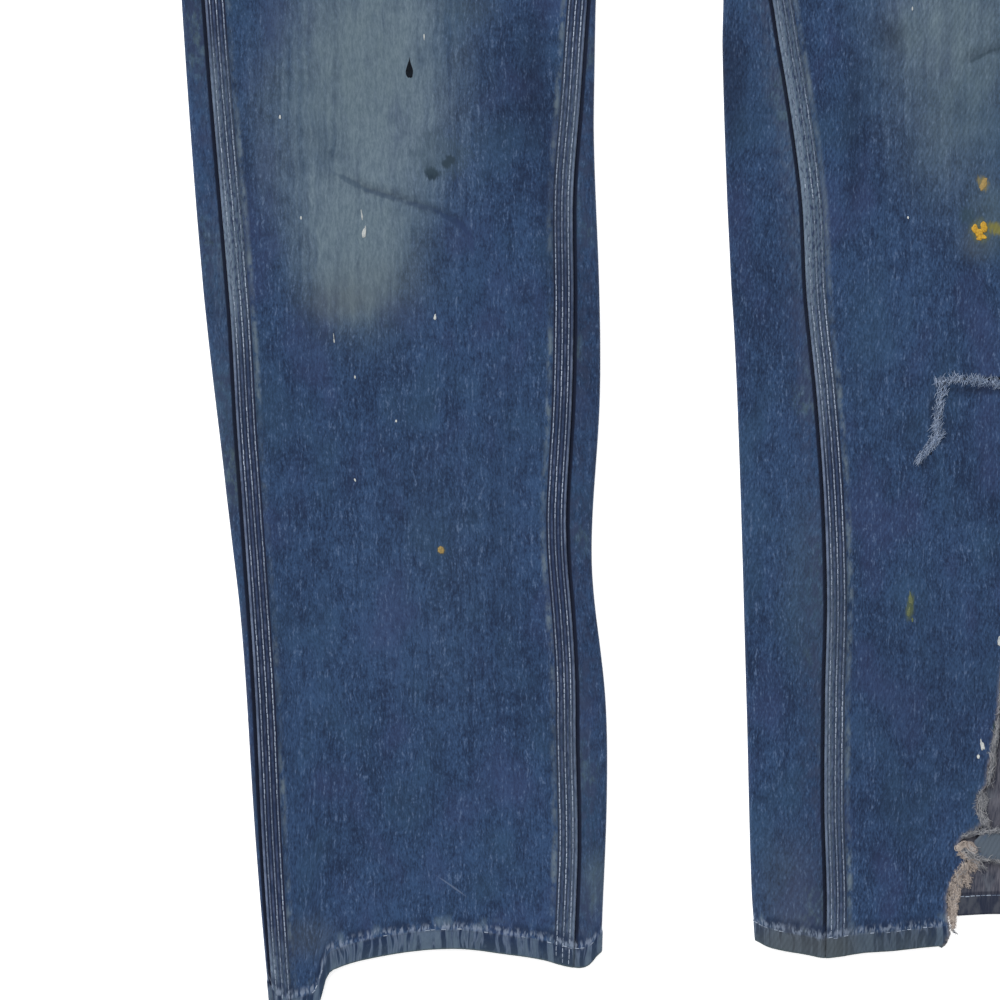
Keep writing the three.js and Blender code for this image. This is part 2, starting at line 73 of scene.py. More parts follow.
rightLeg = {
    "side": -1,
    "outer": [(-46, -259), (0, -262.5), (102, -272.5), (238, -283), (442, -306.5), (646, -322),
              (810, -330), (960, -306), (1118, -258)],
    "inner": [(-46, -37), (0, -36.5), (102, -32.6), (170, -33.5), (265, -42.8), (374, -37.4),
              (442, -37.5), (560, -41.5), (646, -40), (710, -35), (765, -21), (797, -7), (810, 0)],
    "outseam": [(-46, 3.5), (34, 5.3), (136, 7.3), (238, 8.8), (340, 13.3), (442, 18.8),
                (646, 17.6), (810, 17.3), (960, 20), (1118, 26)],
    "inseam": [(-46, 20.6), (68, 20.6), (150, 22.7), (238, 17.9), (306, 20), (374, 20.6),
               (442, 19.3), (510, 17.2), (578, 10.7), (646, 7.5), (730, 4), (810, 0)],
    "hem": [(0, -34), (0.04, -45), (0.12, -44), (0.15, -38), (0.175, -18), (0.21, -12), (0.3, -6),
            (0.45, -0.5), (0.58, 0.7), (0.7, -2.5), (0.82, -6.5), (0.91, -11.5), (0.96, -10.5),
            (1, 0)],
    "backHem": [(0, -34), (0.04, -43), (0.12, -42), (0.15, -34), (0.175, -15), (0.21, -9),
                (0.3, -4), (0.45, 1.5), (0.58, 2.7), (0.7, -0.5), (0.82, -4.5), (0.91, -9),
                (0.96, -8), (1, 0)],
}
leftLeg = {
    "side": 1,
    "outer": [(-10, 293), (0, 294), (102, 302), (238, 309), (442, 320), (646, 328), (810, 334),
              (960, 309), (1118, 260)],
    "inner": [(-10, 69), (34, 65.5), (170, 62), (374, 55.8), (510, 49), (612, 45.7), (660, 46),
              (715, 40), (768, 24), (798, 8), (810, 0)],
    "outseam": [(-10, 7), (306, 9), (646, 12), (810, 15), (960, 20), (1118, 26)],
    "inseam": [(-10, 48.3), (34, 52.8), (102, 53), (170, 55), (238, 58.3), (306, 58.3),
               (374, 55.8), (442, 52.3), (510, 52.3), (578, 45.8), (646, 34.8), (700, 22),
               (760, 9), (810, 0)],
    "hem": [(0, 8), (0.04, 0), (0.106, 0), (0.24, 4), (0.42, 3), (0.504, 1.4), (0.588, -0.7),
            (0.673, -2), (0.757, -4.8), (0.798, -5.4), (0.84, -3.4), (0.925, 0), (0.967, 2.7),
            (1, 7)],
    "backHem": [(0, 8), (0.2, 23), (0.4, 23), (0.6, 20), (0.9, 10), (1, 7)],
}

# The frame says where the pattern's origin is.
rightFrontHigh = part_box("right_leg_front")[1]
shiftX = rightFrontHigh.x * 1000 + pattern["gap"] / 2
shiftY = rightFrontHigh.y * 1000 - pattern["waistY"]


def place(x, y, z):
    return np.stack([(x + shiftX) / 1000, (y + shiftY) / 1000, z / 1000], axis=-1)


def smooth(low, high, v):
    t = np.clip((v - low) / (high - low), 0, 1)
    return t * t * (3 - 2 * t)


def bell(away, width):  # 1 in the middle, falling away softly
    return np.exp(-((away / width) ** 2))


def through(pairs, at):  # a smooth curve through (position, value) pairs, level beyond its ends
    table = np.array(pairs, float)
    px, py = table[:, 0], table[:, 1]
    count = len(px)
    at = np.clip(np.asarray(at, float), px[0], px[-1])
    i = np.clip(np.searchsorted(px, at, side="left") - 1, 0, count - 2)
    before = np.maximum(np.arange(count) - 1, 0)
    after = np.minimum(np.arange(count) + 1, count - 1)
    slope = (py[after] - py[before]) / (px[after] - px[before])
    run = px[i + 1] - px[i]
    t = (at - px[i]) / run
    t2, t3 = t * t, t * t * t
    return ((2 * t3 - 3 * t2 + 1) * py[i] + (t3 - 2 * t2 + t) * run * slope[i]
            + (3 * t2 - 2 * t3) * py[i + 1] + (t3 - t2) * run * slope[i + 1])


def blotch(x, y, seed):  # smooth random value from -1 to 1 with cells one unit wide
    table = np.random.RandomState(seed).uniform(-1, 1, (128, 128))
    x, y = np.broadcast_arrays(np.asarray(x, float), np.asarray(y, float))
    ix, iy = np.floor(x).astype(int), np.floor(y).astype(int)
    fx, fy = x - ix, y - iy
    fx, fy = fx * fx * (3 - 2 * fx), fy * fy * (3 - 2 * fy)
    a, b = table[ix % 128, iy % 128], table[(ix + 1) % 128, iy % 128]
    c, d = table[ix % 128, (iy + 1) % 128], table[(ix + 1) % 128, (iy + 1) % 128]
    return (a * (1 - fx) + b * fx) * (1 - fy) + (c * (1 - fx) + d * fx) * fy


def aboveCrotch(y):
    return smooth(pattern["crotchY"], pattern["crotchY"] + pattern["crotchBlend"], y)


def section(leg, y):  # a leg's cross-section: its outer fold, and lengths along the cloth
    radius = pattern["rollRadius"]
    outer = through(leg["outer"], y)
    inner = np.where(y >= pattern["crotchY"], 0, through(leg["inner"], y))
    edge = inner + leg["side"] * pattern["gap"] / 2
    closed = 1 - aboveCrotch(y)  # 1 where the inner side is folded, 0 where both legs join
    width = np.abs(outer - edge)
    quarter = math.pi / 2 * radius
    flat = width - radius - radius * closed
    return SimpleNamespace(outer=outer, closed=closed, width=width, quarter=quarter, flat=flat,
                           half=flat + 2 * quarter)


def ring(leg, along, y):  # x and z of the leg's outer face, along it from the outer fold's crest
    radius, high = pattern["rollRadius"], pattern["frontHeight"]
    cut = section(leg, y)
    closed, quarter, flat = cut.closed, cut.quarter, cut.flat
    around = np.where(along > cut.half, along - 2 * cut.half, along)
    reach = np.abs(around)
    up = np.where(around >= 0, 1, -1)
    angle = reach / radius
    inCurl, zCurl = radius * (1 - np.cos(angle)), radius * (1 + up * np.sin(angle))
    ride = np.minimum(1, bell(reach - quarter, pattern["rollReach"])
                      + closed * bell(quarter + flat - reach, pattern["rollReach"]))
    inFlat = radius + reach - quarter
    zFlat = np.where(up > 0, high + (2 * radius - high) * ride, 0)
    angle = (cut.half - reach) / radius
    top = high + (2 * radius - high) * closed
    inEnd = cut.width - radius * closed * (1 - np.cos(angle))
    zEnd = top / 2 * (1 + up * np.sin(angle))
    inward = np.where(reach < quarter, inCurl, np.where(reach < quarter + flat, inFlat, inEnd))
    z = np.where(reach < quarter, zCurl, np.where(reach < quarter + flat, zFlat, zEnd))
    return cut.outer - leg["side"] * inward, z


def towards(points, x, y):  # distance from a broken line, and how far along it
    best = np.full(np.shape(x), 1e9)
    along = np.zeros(np.shape(x))
    done = 0.0
    for (ax, ay), (bx, by) in zip(points[:-1], points[1:]):
        dx, dy = bx - ax, by - ay
        length = math.hypot(dx, dy)
        t = np.clip(((x - ax) * dx + (y - ay) * dy) / length ** 2, 0, 1)
        away = np.hypot(x - ax - t * dx, y - ay - t * dy)
        closer = away < best
        best = np.where(closer, away, best)
        along = np.where(closer, done + t * length, along)
        done += length
    return best, along / done


def spread(spots, x, y):  # soft oval patches: x, y, half-width, half-height, strength
    total = np.zeros(np.shape(x))
    for cx, cy, rx, ry, strength in spots:
        away = ((x - cx) / rx) ** 2 + ((y - cy) / ry) ** 2
        total = 1 - (1 - total) * (1 - strength * np.exp(-away ** 1.4))
    return total


bib = {
    "half": [(1118, 231), (1140, 226), (1165, 190), (1200, 160), (1250, 140), (1320, 129),
             (1400, 125)],
    "backHalf": [(1118, 251), (1140, 245), (1170, 205), (1210, 163), (1270, 116), (1340, 82),
                 (1440, 60)],
    "foot": 1118.3,
    "top": 1400.0,
    "backTop": 1440.0,
    "sideHem": 11.0,
    "rows": (2.4, 8.8),
    "topRows": (2.4, 12.6),
}
waistband = {"from": 1104.0, "to": 1140.0, "end": 25.0, "stand": 2.5, "row": 2.6}
strap = {
    "width": 36.0,
    "thick": 1.4,
    "ply": 1.2,
    "run": 4.6,
    "rest": 3.0,
    "lap": 22.0,
    "foot": 38.0,
    "shoulder": (80.0, 1555.0),
    "button": (97.0, 1372.0),
    "buckle": 1.8,
    "bar": 29.0,
    "slider": 95.0,
    "rows": (2.6,),
    "edge": 4.5,  # close columns along each edge
    "stitchStand": 0.62,  # from the strap's middle
    "tackStand": 0.64,
}

# Wear, dirt, darker patches and painted shade, placed on the pattern.
marks = {
    "fade": [(-205, 478, 33, 52, 0.84), (-187, 592, 36, 96, 0.62), (-192, 575, 76, 125, 0.44),
             (-238, 560, 40, 90, 0.25), (-175, 790, 70, 170, 0.4), (196, 590, 50, 100, 0.34),
             (216, 645, 56, 56, 0.3),
             (175, 800, 75, 170, 0.4), (0, 1270, 90, 90, 0.3), (-150, 250, 60, 120, 0.12)],
    "grime": [(-205, 600, 50, 70, 0.5), (-200, 470, 45, 55, 0.4), (215, 600, 45, 80, 0.6),
              (228, 500, 16, 26, 0.7), (-40, 48, 10, 20, 0.8), (172, 622, 12, 14, 0.35),
              (-128, 640, 22, 12, 0.3), (90, 880, 60, 60, 0.3), (-60, 1230, 50, 40, 0.3),
              (-290, 350, 20, 60, 0.3), (105, 250, 20, 60, 0.3)],
    "earth": [(-214, 440, 24, 12, 0.42), (-196, 452, 40, 18, 0.25), (218, 480, 12, 12, 0.4),
              (60, 1320, 30, 22, 0.3), (-235, 8, 18, 14, 0.4), (94, 4, 28, 16, 0.75),
              (90, 40, 24, 40, 0.3), (122, 2, 14, 14, 0.85)],
    # painted shadows beside the slash's edges, among darker patches
    "shade": [(-82, 592, 10, 46, 0.42), (-94, 592, 24, 60, 0.18), (52, 590, 11, 42, 0.7),
              (161, 622, 10, 12, 0.5), (188, 366, 2.5, 16, 0.6), (222, 381, 26, 3.2, 0.7),
              (183, 331, 2.2, 5, 0.9), (226, 90, 4, 3, 0.3),
              (-72, 500, 8, 60, 0.35), (-104, 320, 8, 90, 0.2), (135, 560, 7, 70, 0.35),
              (180, 170, 60, 80, 0.2), (-50, 390, 10, 90, 0.16), (-262, 165, 12, 80, 0.25),
              (-58, 420, 10, 60, 0.12), (-60, 140, 10, 70, 0.12),
              (-232, 428, 5, 14, 0.3), (-222, 416, 8, 5, 0.25), (165, 6, 46, 12, 0.26),
              (90, 4, 24, 12, 0.16)],
    "rub": [(-286, 480, 15, 62, 0.75), (-294, 580, 14, 36, 0.45), (-62, 560, 14, 80, 0.3),
            (-60, 90, 14, 90, 0.25), (88, 620, 15, 50, 0.6), (98, 560, 15, 50, 0.75),
            (108, 490, 15, 60, 0.75), (116, 400, 13, 50, 0.35), (124, 150, 14, 120, 0.35),
            (-256, -22, 16, 30, 0.5), (-60, 0, 16, 24, 0.4), (122, 0, 16, 30, 0.4)],
}
# Creases in the top layer: a route, half-width, depth and how dark its painted shade is.
creases = [
    ([(-219, 529), (-194, 517), (-173, 511), (-157, 505), (-143, 501), (-133, 495), (-126, 486),
      (-124, 474)], 3.2, 1.3, 0.55),
    ([(207, 603), (220, 609), (233, 613), (246, 615)], 3.5, 1.2, 0.4),
    ([(-240, 560), (-222, 540), (-208, 534)], 5, 0.8, 0.12),
    ([(-150, 470), (-128, 462), (-108, 466)], 6, 0.7, 0.12),
    ([(120, 470), (150, 462), (182, 470)], 6, 0.7, 0.12),
    ([(-10, 838), (-60, 868), (-130, 884), (-210, 882)], 7, 1.7, 0.35),
    ([(-12, 822), (-70, 834), (-150, 832)], 6, 1.3, 0.28),
    ([(10, 838), (62, 866), (132, 886), (214, 880)], 7, 1.7, 0.35),
    ([(12, 822), (76, 836), (156, 830)], 6, 1.3, 0.28),
    ([(-250, 700), (-200, 716), (-140, 712)], 8, 1.2, 0.2),
    ([(240, 720), (190, 708), (140, 714)], 8, 1.2, 0.2),
    ([(-60, 1010), (-20, 1000), (40, 1016)], 8, 1.0, 0.15),
]
slash = [(187, 338), (192.4, 353), (194, 372), (196, 386), (212, 388), (234, 389), (250, 386)]
hemRip = [(184, -15), (191, -1), (197, 3), (200.8, 10), (199.3, 22), (198.8, 35),
          (200.3, 41), (202.5, 46), (205.5, 51),
          (210, 57), (212.5, 62), (211, 67), (206, 71), (210, 77), (218, 81.5), (224.5, 86.5),
          (221.5, 92), (219.3, 96), (220.3, 105), (226, 112), (226.8, 120), (229, 133),
          (231, 143), (233.5, 159), (234.5, 172), (237, 196), (240.5, 176), (242.5, 150),
          (243.5, 118), (243, 98), (241, 87), (235, 82.5), (222, 79.5), (217, 74), (217.5, 65),
          (224, 61), (240, 60), (252, 56), (257, 25), (260, -15)]


swells = [(0.75, 95, 150, 3), (0.5, 42, 75, 4), (0.22, 19, 30, 5)]  # height, across, along, seed


def relief(x, y, seamAway, hemAway):  # how far the top layer stands off its plain form
    calm = smooth(2, 26, seamAway) * smooth(4, 40, hemAway)
    lift = sum(high * blotch(x / wide, y / tall, seed) for high, wide, tall, seed in swells)
    lift = lift * (0.25 + 0.75 * calm)
    puckers = bell(seamAway - 15, 6) * smooth(0, 10, hemAway)
    lift += puckers * (0.3 * blotch(seamAway / 16, y / 5.5, 6) + 0.22)
    band = 1 - smooth(12.6, 14.2, seamAway)
    lift += band * 0.2 * blotch(x / 6, y / 3.6, 7)
    for row in pattern["stitchRows"]:
        lift -= 0.35 * bell(seamAway - row, 0.75) * (hemAway > 2)
    rope = blotch((x + 0.45 * hemAway) / 6.5, hemAway / 26, 8)
    hem = 1 - smooth(11, 19, hemAway)
    lift += hem * (0.55 * rope + 0.1) + 0.3 * bell(hemAway - 19, 5) * rope
    lift -= 0.5 * bell(hemAway - 14.5, 1.1)
    for route, width, depth, _ in creases:
        away, t = towards(route, x, y)
        ends = smooth(0, 0.2, t) * (1 - smooth(0.8, 1, t))
        lift += ends * depth * (0.55 * bell(away - 2 * width, 1.2 * width)
                                - bell(away, width))
    away, _ = towards(slash, x, y)
    lift += 0.9 * bell(away, 6)
    away, _ = towards(hemRip[1:-1], x, y)
    lift += 0.9 * bell(away, 7) * (0.6 + 0.4 * blotch(x / 5, y / 5, 9))
    return lift


def meshOf(bm, mesh):  # a finished bmesh put into a mesh, a new one if only its name is given
    if isinstance(mesh, str):
        mesh = bpy.data.meshes.new(mesh)
    bm.to_mesh(mesh)
    bm.free()
    return mesh


def clothGrid(name, columns, rows):  # a flat grid, and the column and row of each of its points
    bm = bmesh.new()
    bmesh.ops.create_grid(bm, x_segments=columns, y_segments=rows, size=1)
    mesh = meshOf(bm, name)
    flat = np.empty(len(mesh.vertices) * 3)
    mesh.vertices.foreach_get("co", flat)
    spots = flat.reshape(-1, 3)
    spots = (spots - spots.min(0)) / np.maximum(spots.max(0) - spots.min(0), 1e-9)
    column = np.rint(spots[:, 0] * columns).astype(int)
    row = np.rint(spots[:, 1] * rows).astype(int)
    return mesh, column, row


def dress(mesh, points, weave, values, turned=False):  # give a grid its shape, weave and values
    mesh.vertices.foreach_set("co", points.ravel())
    for name, value in values.items():
        layer = mesh.attributes.new(name, "FLOAT", "POINT")
        layer.data.foreach_set("value", np.broadcast_to(value, len(points)).astype(float))
    corners = np.empty(len(mesh.loops), int)
    mesh.loops.foreach_get("vertex_index", corners)
    layer = mesh.uv_layers.new(name="weave")
    layer.data.foreach_set("uv", (weave[corners] / 1000).ravel())
    if turned:
        mesh.flip_normals()
    mesh.shade_smooth()
    mesh.update()


def weld(mesh):  # columns that run together above the crotch become one edge
    bm = bmesh.new()
    bm.from_mesh(mesh)
    bmesh.ops.remove_doubles(bm, verts=bm.verts, dist=0.00003)
    meshOf(bm, mesh).update()


def marksAt(x, y):
    shade = spread(marks["shade"], x, y)
    # painted shade along each crease
    for route, width, _, dark in creases:
        away, t = towards(route, x, y)
        ends = smooth(0, 0.25, t) * (1 - smooth(0.75, 1, t))
        shade = np.maximum(shade, dark * ends * bell(away, width * 0.7))
    values = {kind: spread(marks[kind], x, y) for kind in ("fade", "grime", "earth", "rub")}
    values["shade"] = shade
    values["torn"] = bell(towards(hemRip[1:-1], x, y)[0], 1.4)
    return values


def thicken(piece, thickness, weights=None):  # the last material is the cloth's inside
    shell = piece.modifiers.new("ply", "SOLIDIFY")
    shell.thickness = thickness / 1000
    shell.offset = -1
    shell.use_even_offset = False
    shell.material_offset = len(piece.data.materials) - 1
    if weights is not None:
        group = piece.vertex_groups.new(name="ply")
        for value in np.unique(weights):
            group.add([int(i) for i in np.nonzero(weights == value)[0]], float(value), "REPLACE")
        shell.vertex_group = "ply"


def newObject(name, data):
    thing = bpy.data.objects.new(name, data)
    bpy.context.scene.collection.objects.link(thing)
    return thing


def addPiece(mesh, materials):
    piece = newObject(mesh.name, mesh)
    for material in materials:
        mesh.materials.append(material)
    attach(piece, "root")
    return piece


def clothPiece(name, mesh, outside, thickness, weights=None, lined=True):
    kinds = [outside, "inside"] if lined else [outside]  # a strap is doubled and has no inside
    piece = addPiece(mesh, [finishes[kind] for kind in kinds])
    thicken(piece, thickness, weights)
    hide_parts(name)
    piece.name = "cloth_" + name
    return piece


def steps(*stretches):  # places along a line: a start, then (end, step) pairs
    places = [float(stretches[0])]
    for end, step in stretches[1:]:
        start = places[-1]
        count = max(1, round((end - start) / step))
        places += [start + (end - start) * (k + 1) / count for k in range(count)]
    return np.array(places)


def frontArcs(leg, rows, cells):  # arc lengths of a front panel's columns for every row
    cut = section(leg, rows)
    gap = pattern["gap"] / 2
    start = through(leg["outseam"], rows) + gap
    end = np.where(rows > pattern["crotchY"], cut.half - cut.quarter * aboveCrotch(rows),
                   cut.half - through(leg["inseam"], rows) - gap)
    edge = np.concatenate([np.linspace(0, 13.6, 17), np.linspace(14.8, 18.4, 4)])
    span = end - start - 2 * edge[-1]  # between the seams, where columns are wider
    middle = start[:, None] + edge[-1] + span[:, None] * cells[None, 1:-1]
    arcs = np.concatenate([start[:, None] + edge[None, :], middle,
                           end[:, None] - edge[None, ::-1]], axis=1)
    return arcs, start, end


def backArcs(leg, rows):  # the same for a back panel, from its inseam round under to its outseam
    cut = section(leg, rows)
    half, quarter = cut.half, cut.quarter
    tuck = pattern["tuck"] * (1 - smooth(pattern["crotchY"] - 40, pattern["crotchY"] - 5, rows))
    start = np.where(rows > pattern["crotchY"], half + quarter * aboveCrotch(rows),
                     half - through(leg["inseam"], rows) - tuck)
    end = 2 * half + through(leg["outseam"], rows) + pattern["tuck"]
    turns = [start, np.maximum(start, half - quarter), np.maximum(start, half + quarter),
             2 * half - quarter, np.minimum(end, 2 * half + quarter), end]
    parts = []
    for low, high, count in zip(turns[:-1], turns[1:], pattern["backColumns"]):
        parts.append(low[:, None] + (high - low)[:, None] * (np.arange(count) / count)[None, :])
    return np.concatenate(parts + [end[:, None]], axis=1), start, end


def hemmed(leg, along, row, x):  # y with the hem's own curve added
    cut = section(leg, row)
    share = np.clip(np.abs(x - cut.outer) / cut.width, 0, 1)
    around = np.where(along > cut.half, along - 2 * cut.half, along)
    curve = np.where(around >= 0, through(leg["hem"], share), through(leg["backHem"], share))
    return row + curve * (1 - smooth(0, pattern["hemBlend"], row))


def legFace(leg, side, along, row, start, end):  # the finished outer face at any place of a panel
    x, z = ring(leg, along, row)
    x2, z2 = ring(leg, along + 0.2, row)
    x1, z1 = ring(leg, along - 0.2, row)
    nx, nz = -(z2 - z1), (x2 - x1)
    size = np.hypot(nx, nz)
    flip = -leg["side"]
    nx, nz = flip * nx / size, flip * nz / size
    y = hemmed(leg, along, row, x)
    top = smooth(pattern["rollRadius"] * 0.9, pattern["rollRadius"] * 1.7, z)
    fromStart, fromEnd = along - start, end - along
    if side == "front" and leg is rightLeg:  # above the crotch the left front laps over the right
        crotch = pattern["crotchY"]
        fromEnd = fromEnd + pattern["lapped"] * smooth(crotch, crotch + 6, row)
    seamAway = np.minimum(fromStart, fromEnd)
    lift = relief(x, y, seamAway if side == "front" else seamAway + 40, row)
    if side == "front":
        lift = lift + pattern["bandRaise"] * (1 - smooth(13.4, 14.8, seamAway))
        lift = lift - 0.5 * bell(seamAway, 0.6)
    else:
        lift = lift - 1.0 * bell(seamAway, 2.2) * top
    lift = lift + pattern["hemRaise"] * (1 - smooth(13.8, 15.2, row))
    lift = lift * top
    return x + nx * lift, y, z + nz * lift, nx, nz, seamAway


def arcsOf(leg, side, rows, cells=None):
    return backArcs(leg, rows) if side == "back" else frontArcs(leg, rows, cells)


def legMesh(name, leg, side, rows, cells):
    arcs, start, end = arcsOf(leg, side, rows, cells)
    mesh, column, row = clothGrid(name, arcs.shape[1] - 1, len(rows) - 1)
    along, y0 = arcs[row, column], rows[row]
    x, y, z, _, _, seamAway = legFace(leg, side, along, y0, start[row], end[row])
    values = {"seamAway": seamAway, "hemAway": y0, **marksAt(x, y)}
    under = (z < pattern["rollRadius"] * 0.6)
    values["fade"] = np.where(under, 0.25 + 0.2 * blotch(x / 70, y / 110, 21), values["fade"])
    cut = section(leg, y0)
    grain = along - np.abs(cut.outer)  # the weave runs straight up on the top faces
    if side == "back":
        under = smooth(cut.half + cut.quarter, 2 * cut.half - cut.quarter, along)
        grain = grain - under * (2 * cut.half - 560)
    weave = np.stack([grain, y0 + pattern["leftWeave"] * (leg is leftLeg)], axis=-1)
    dress(mesh, place(x, y, z), weave, values, turned=leg is leftLeg)
    if side == "back":
        weld(mesh)
    return mesh


def insideRip(x, y):  # even-odd test against the rip's outline
    inside = np.zeros(np.shape(x), bool)
    loop = list(zip(hemRip, hemRip[1:] + hemRip[:1]))
    for (ax, ay), (bx, by) in loop:
        crosses = (ay > y) != (by > y)
        at = ax + (y - ay) * (bx - ax) / (by - ay + 1e-12)
        inside ^= crosses & (x < at)
    return inside


def nearestOn(loop, x, y):  # how far the nearest place of an outline is, and where
    best = None
    for (ax, ay), (bx, by) in zip(loop[:-1], loop[1:]):
        t = max(0, min(1, ((x - ax) * (bx - ax) + (y - ay) * (by - ay))
                       / ((bx - ax) ** 2 + (by - ay) ** 2)))
        px, py = ax + t * (bx - ax), ay + t * (by - ay)
        away = math.hypot(x - px, y - py)
        if best is None or away < best[0]:
            best = (away, px, py)
    return best


torn = {"slit": 0.9, "snap": 1.6, "jagX": 0.5, "jagY": 0.4, "jagCell": 1.3}


def tear(mesh):  # cut the hem rip and the slash out of the left front
    bm = bmesh.new()
    bm.from_mesh(mesh)
    bm.faces.ensure_lookup_table()
    middle = np.array([f.calc_center_median()[:] for f in bm.faces]) * 1000
    x, y = middle[:, 0] - shiftX, middle[:, 1] - shiftY
    slit, _ = towards(slash, x, y)
    gone = insideRip(x, y) | (slit < torn["slit"])
    bmesh.ops.delete(bm, geom=[bm.faces[int(i)] for i in np.nonzero(gone)[0]], context="FACES")
    lost = [v for v in bm.verts if not v.link_faces]
    bmesh.ops.delete(bm, geom=lost, context="VERTS")
    rim = [v for v in bm.verts if v.is_boundary]
    rx = np.array([v.co.x for v in rim]) * 1000 - shiftX
    ry = np.array([v.co.y for v in rim]) * 1000 - shiftY
    loop, cell = hemRip + hemRip[:1], torn["jagCell"]
    for k, v in enumerate(rim):
        away, px, py = nearestOn(loop, rx[k], ry[k])
        if away < torn["snap"]:
            v.co.x = (px + torn["jagX"] * float(blotch(py / cell, 3, 31)) + shiftX) / 1000
            v.co.y = (py + torn["jagY"] * float(blotch(px / cell, 7, 32)) + shiftY) / 1000
    meshOf(bm, mesh).update()


def tint(red, green, blue):  # a display colour, 0 to 255, as a linear one
    def linear(v):
        v = v / 255
        return v / 12.92 if v <= 0.04045 else ((v + 0.055) / 1.055) ** 2.4

    return (linear(red), linear(green), linear(blue), 1.0)


class Wire:  # a shader value that can be added, multiplied and so on
    def __init__(self, finish, socket):
        self.finish = finish
        self.socket = socket

    def sum(self, what, first, second):
        return self.finish.add("ShaderNodeMath", {"operation": what}, {0: first, 1: second})

    def __add__(self, other):
        return self.sum("ADD", self, other)

    def __sub__(self, other):
        return self.sum("SUBTRACT", self, other)

    def __rsub__(self, other):
        return self.sum("SUBTRACT", other, self)

    def __mul__(self, other):
        return self.sum("MULTIPLY", self, other)

    __radd__ = __add__
    __rmul__ = __mul__


class Finish:  # one material and the nodes that make it
    def __init__(self, name, **fixed):
        self.material = bpy.data.materials.new(name)
        self.material.use_nodes = True
        self.tree = self.material.node_tree
        self.tree.nodes.clear()
        output = self.tree.nodes.new("ShaderNodeOutputMaterial")
        self.shader = self.tree.nodes.new("ShaderNodeBsdfPrincipled")
        self.tree.links.new(self.shader.outputs[0], output.inputs[0])
        for name, value in fixed.items():
            self.shader.inputs[name.replace("_", " ")].default_value = value

    def add(self, kind, settings=None, inputs=None, out=0):
        node = self.tree.nodes.new(kind)
        for key, value in (settings or {}).items():
            setattr(node, key, value)
        for key, value in (inputs or {}).items():
            self.feed(node.inputs[key], value)
        return Wire(self, node.outputs[out])

    def feed(self, socket, value):
        if isinstance(value, Wire):
            self.tree.links.new(value.socket, socket)
        else:
            socket.default_value = value

    def ends(self, **values):  # what varies over the surface
        for name, value in values.items():
            self.feed(self.shader.inputs[name.replace("_", " ")], value)
        return self.material

    def value(self, name):
        return self.add("ShaderNodeAttribute", {"attribute_type": "GEOMETRY",
                                                "attribute_name": name}, out=2)

    def stretch(self, vector, scale, turn=0.0):
        return self.add("ShaderNodeMapping", {}, {"Vector": vector, "Scale": scale,
                                                  "Rotation": (0, 0, turn)})

    def noise(self, vector, scale, detail=2.0, rough=0.5, turn=0.0):
        placed = self.stretch(vector, scale, turn)
        return self.add("ShaderNodeTexNoise", {}, {"Vector": placed, "Scale": 1.0,
                                                   "Detail": detail, "Roughness": rough})

    def ramp(self, value, low, high, bottom=0.0, top=1.0):
        return self.add("ShaderNodeMapRange", {"interpolation_type": "SMOOTHSTEP"},
                        {"Value": value, "From Min": low, "From Max": high, "To Min": bottom,
                         "To Max": top})

    def blend(self, share, first, second):
        return self.add("ShaderNodeMix", {"data_type": "RGBA", "clamp_factor": True},
                        {0: share, 6: first, 7: second}, out=2)

    def lay(self, share, layerColour):  # one more colour over those laid so far
        self.colour = self.blend(share, self.colour, layerColour)

    def hump(self, value, middle, half):  # 1 at the middle, 0 beyond half away from it
        away = self.add("ShaderNodeMath", {"operation": "ABSOLUTE"}, {0: value - middle})
        return self.ramp(away, half, 0.0)

    def bump(self, height, strength, distance):
        return self.add("ShaderNodeBump", {}, {"Strength": strength, "Distance": distance,
                                               "Height": height})


denimLook = {name: tint(*colour) for name, colour in {
    "deep": (18, 35, 62),
    "mid": (46, 71, 106),
    "violet": (49, 60, 98),
    "teal": (44, 72, 98),
    "slub": (88, 105, 134),
    "pale": (92, 110, 125),
    "fadeLow": (79, 96, 111),
    "fadeHigh": (104, 120, 133),
    "chalk": (122, 136, 160),
    "band": (33, 46, 74),
    "bandWorn": (78, 90, 119),
    "bandRub": (87, 105, 122),
    "lip": (108, 124, 141),
    "ridge": (94, 108, 120),
    "margin": (42, 53, 79),
    "hem": (36, 52, 76),
    "hemWorn": (84, 100, 119),
    "thread": (124, 136, 156),
    "green": (80, 97, 100),
    "lint": (150, 140, 134),
    "brown": (76, 82, 84),
    # the dark laid as painted shade: grooves beside stitch rows, ditches, the hem's fold and
    # creases
    "paintedShade": (3, 12, 34),
}.items()}
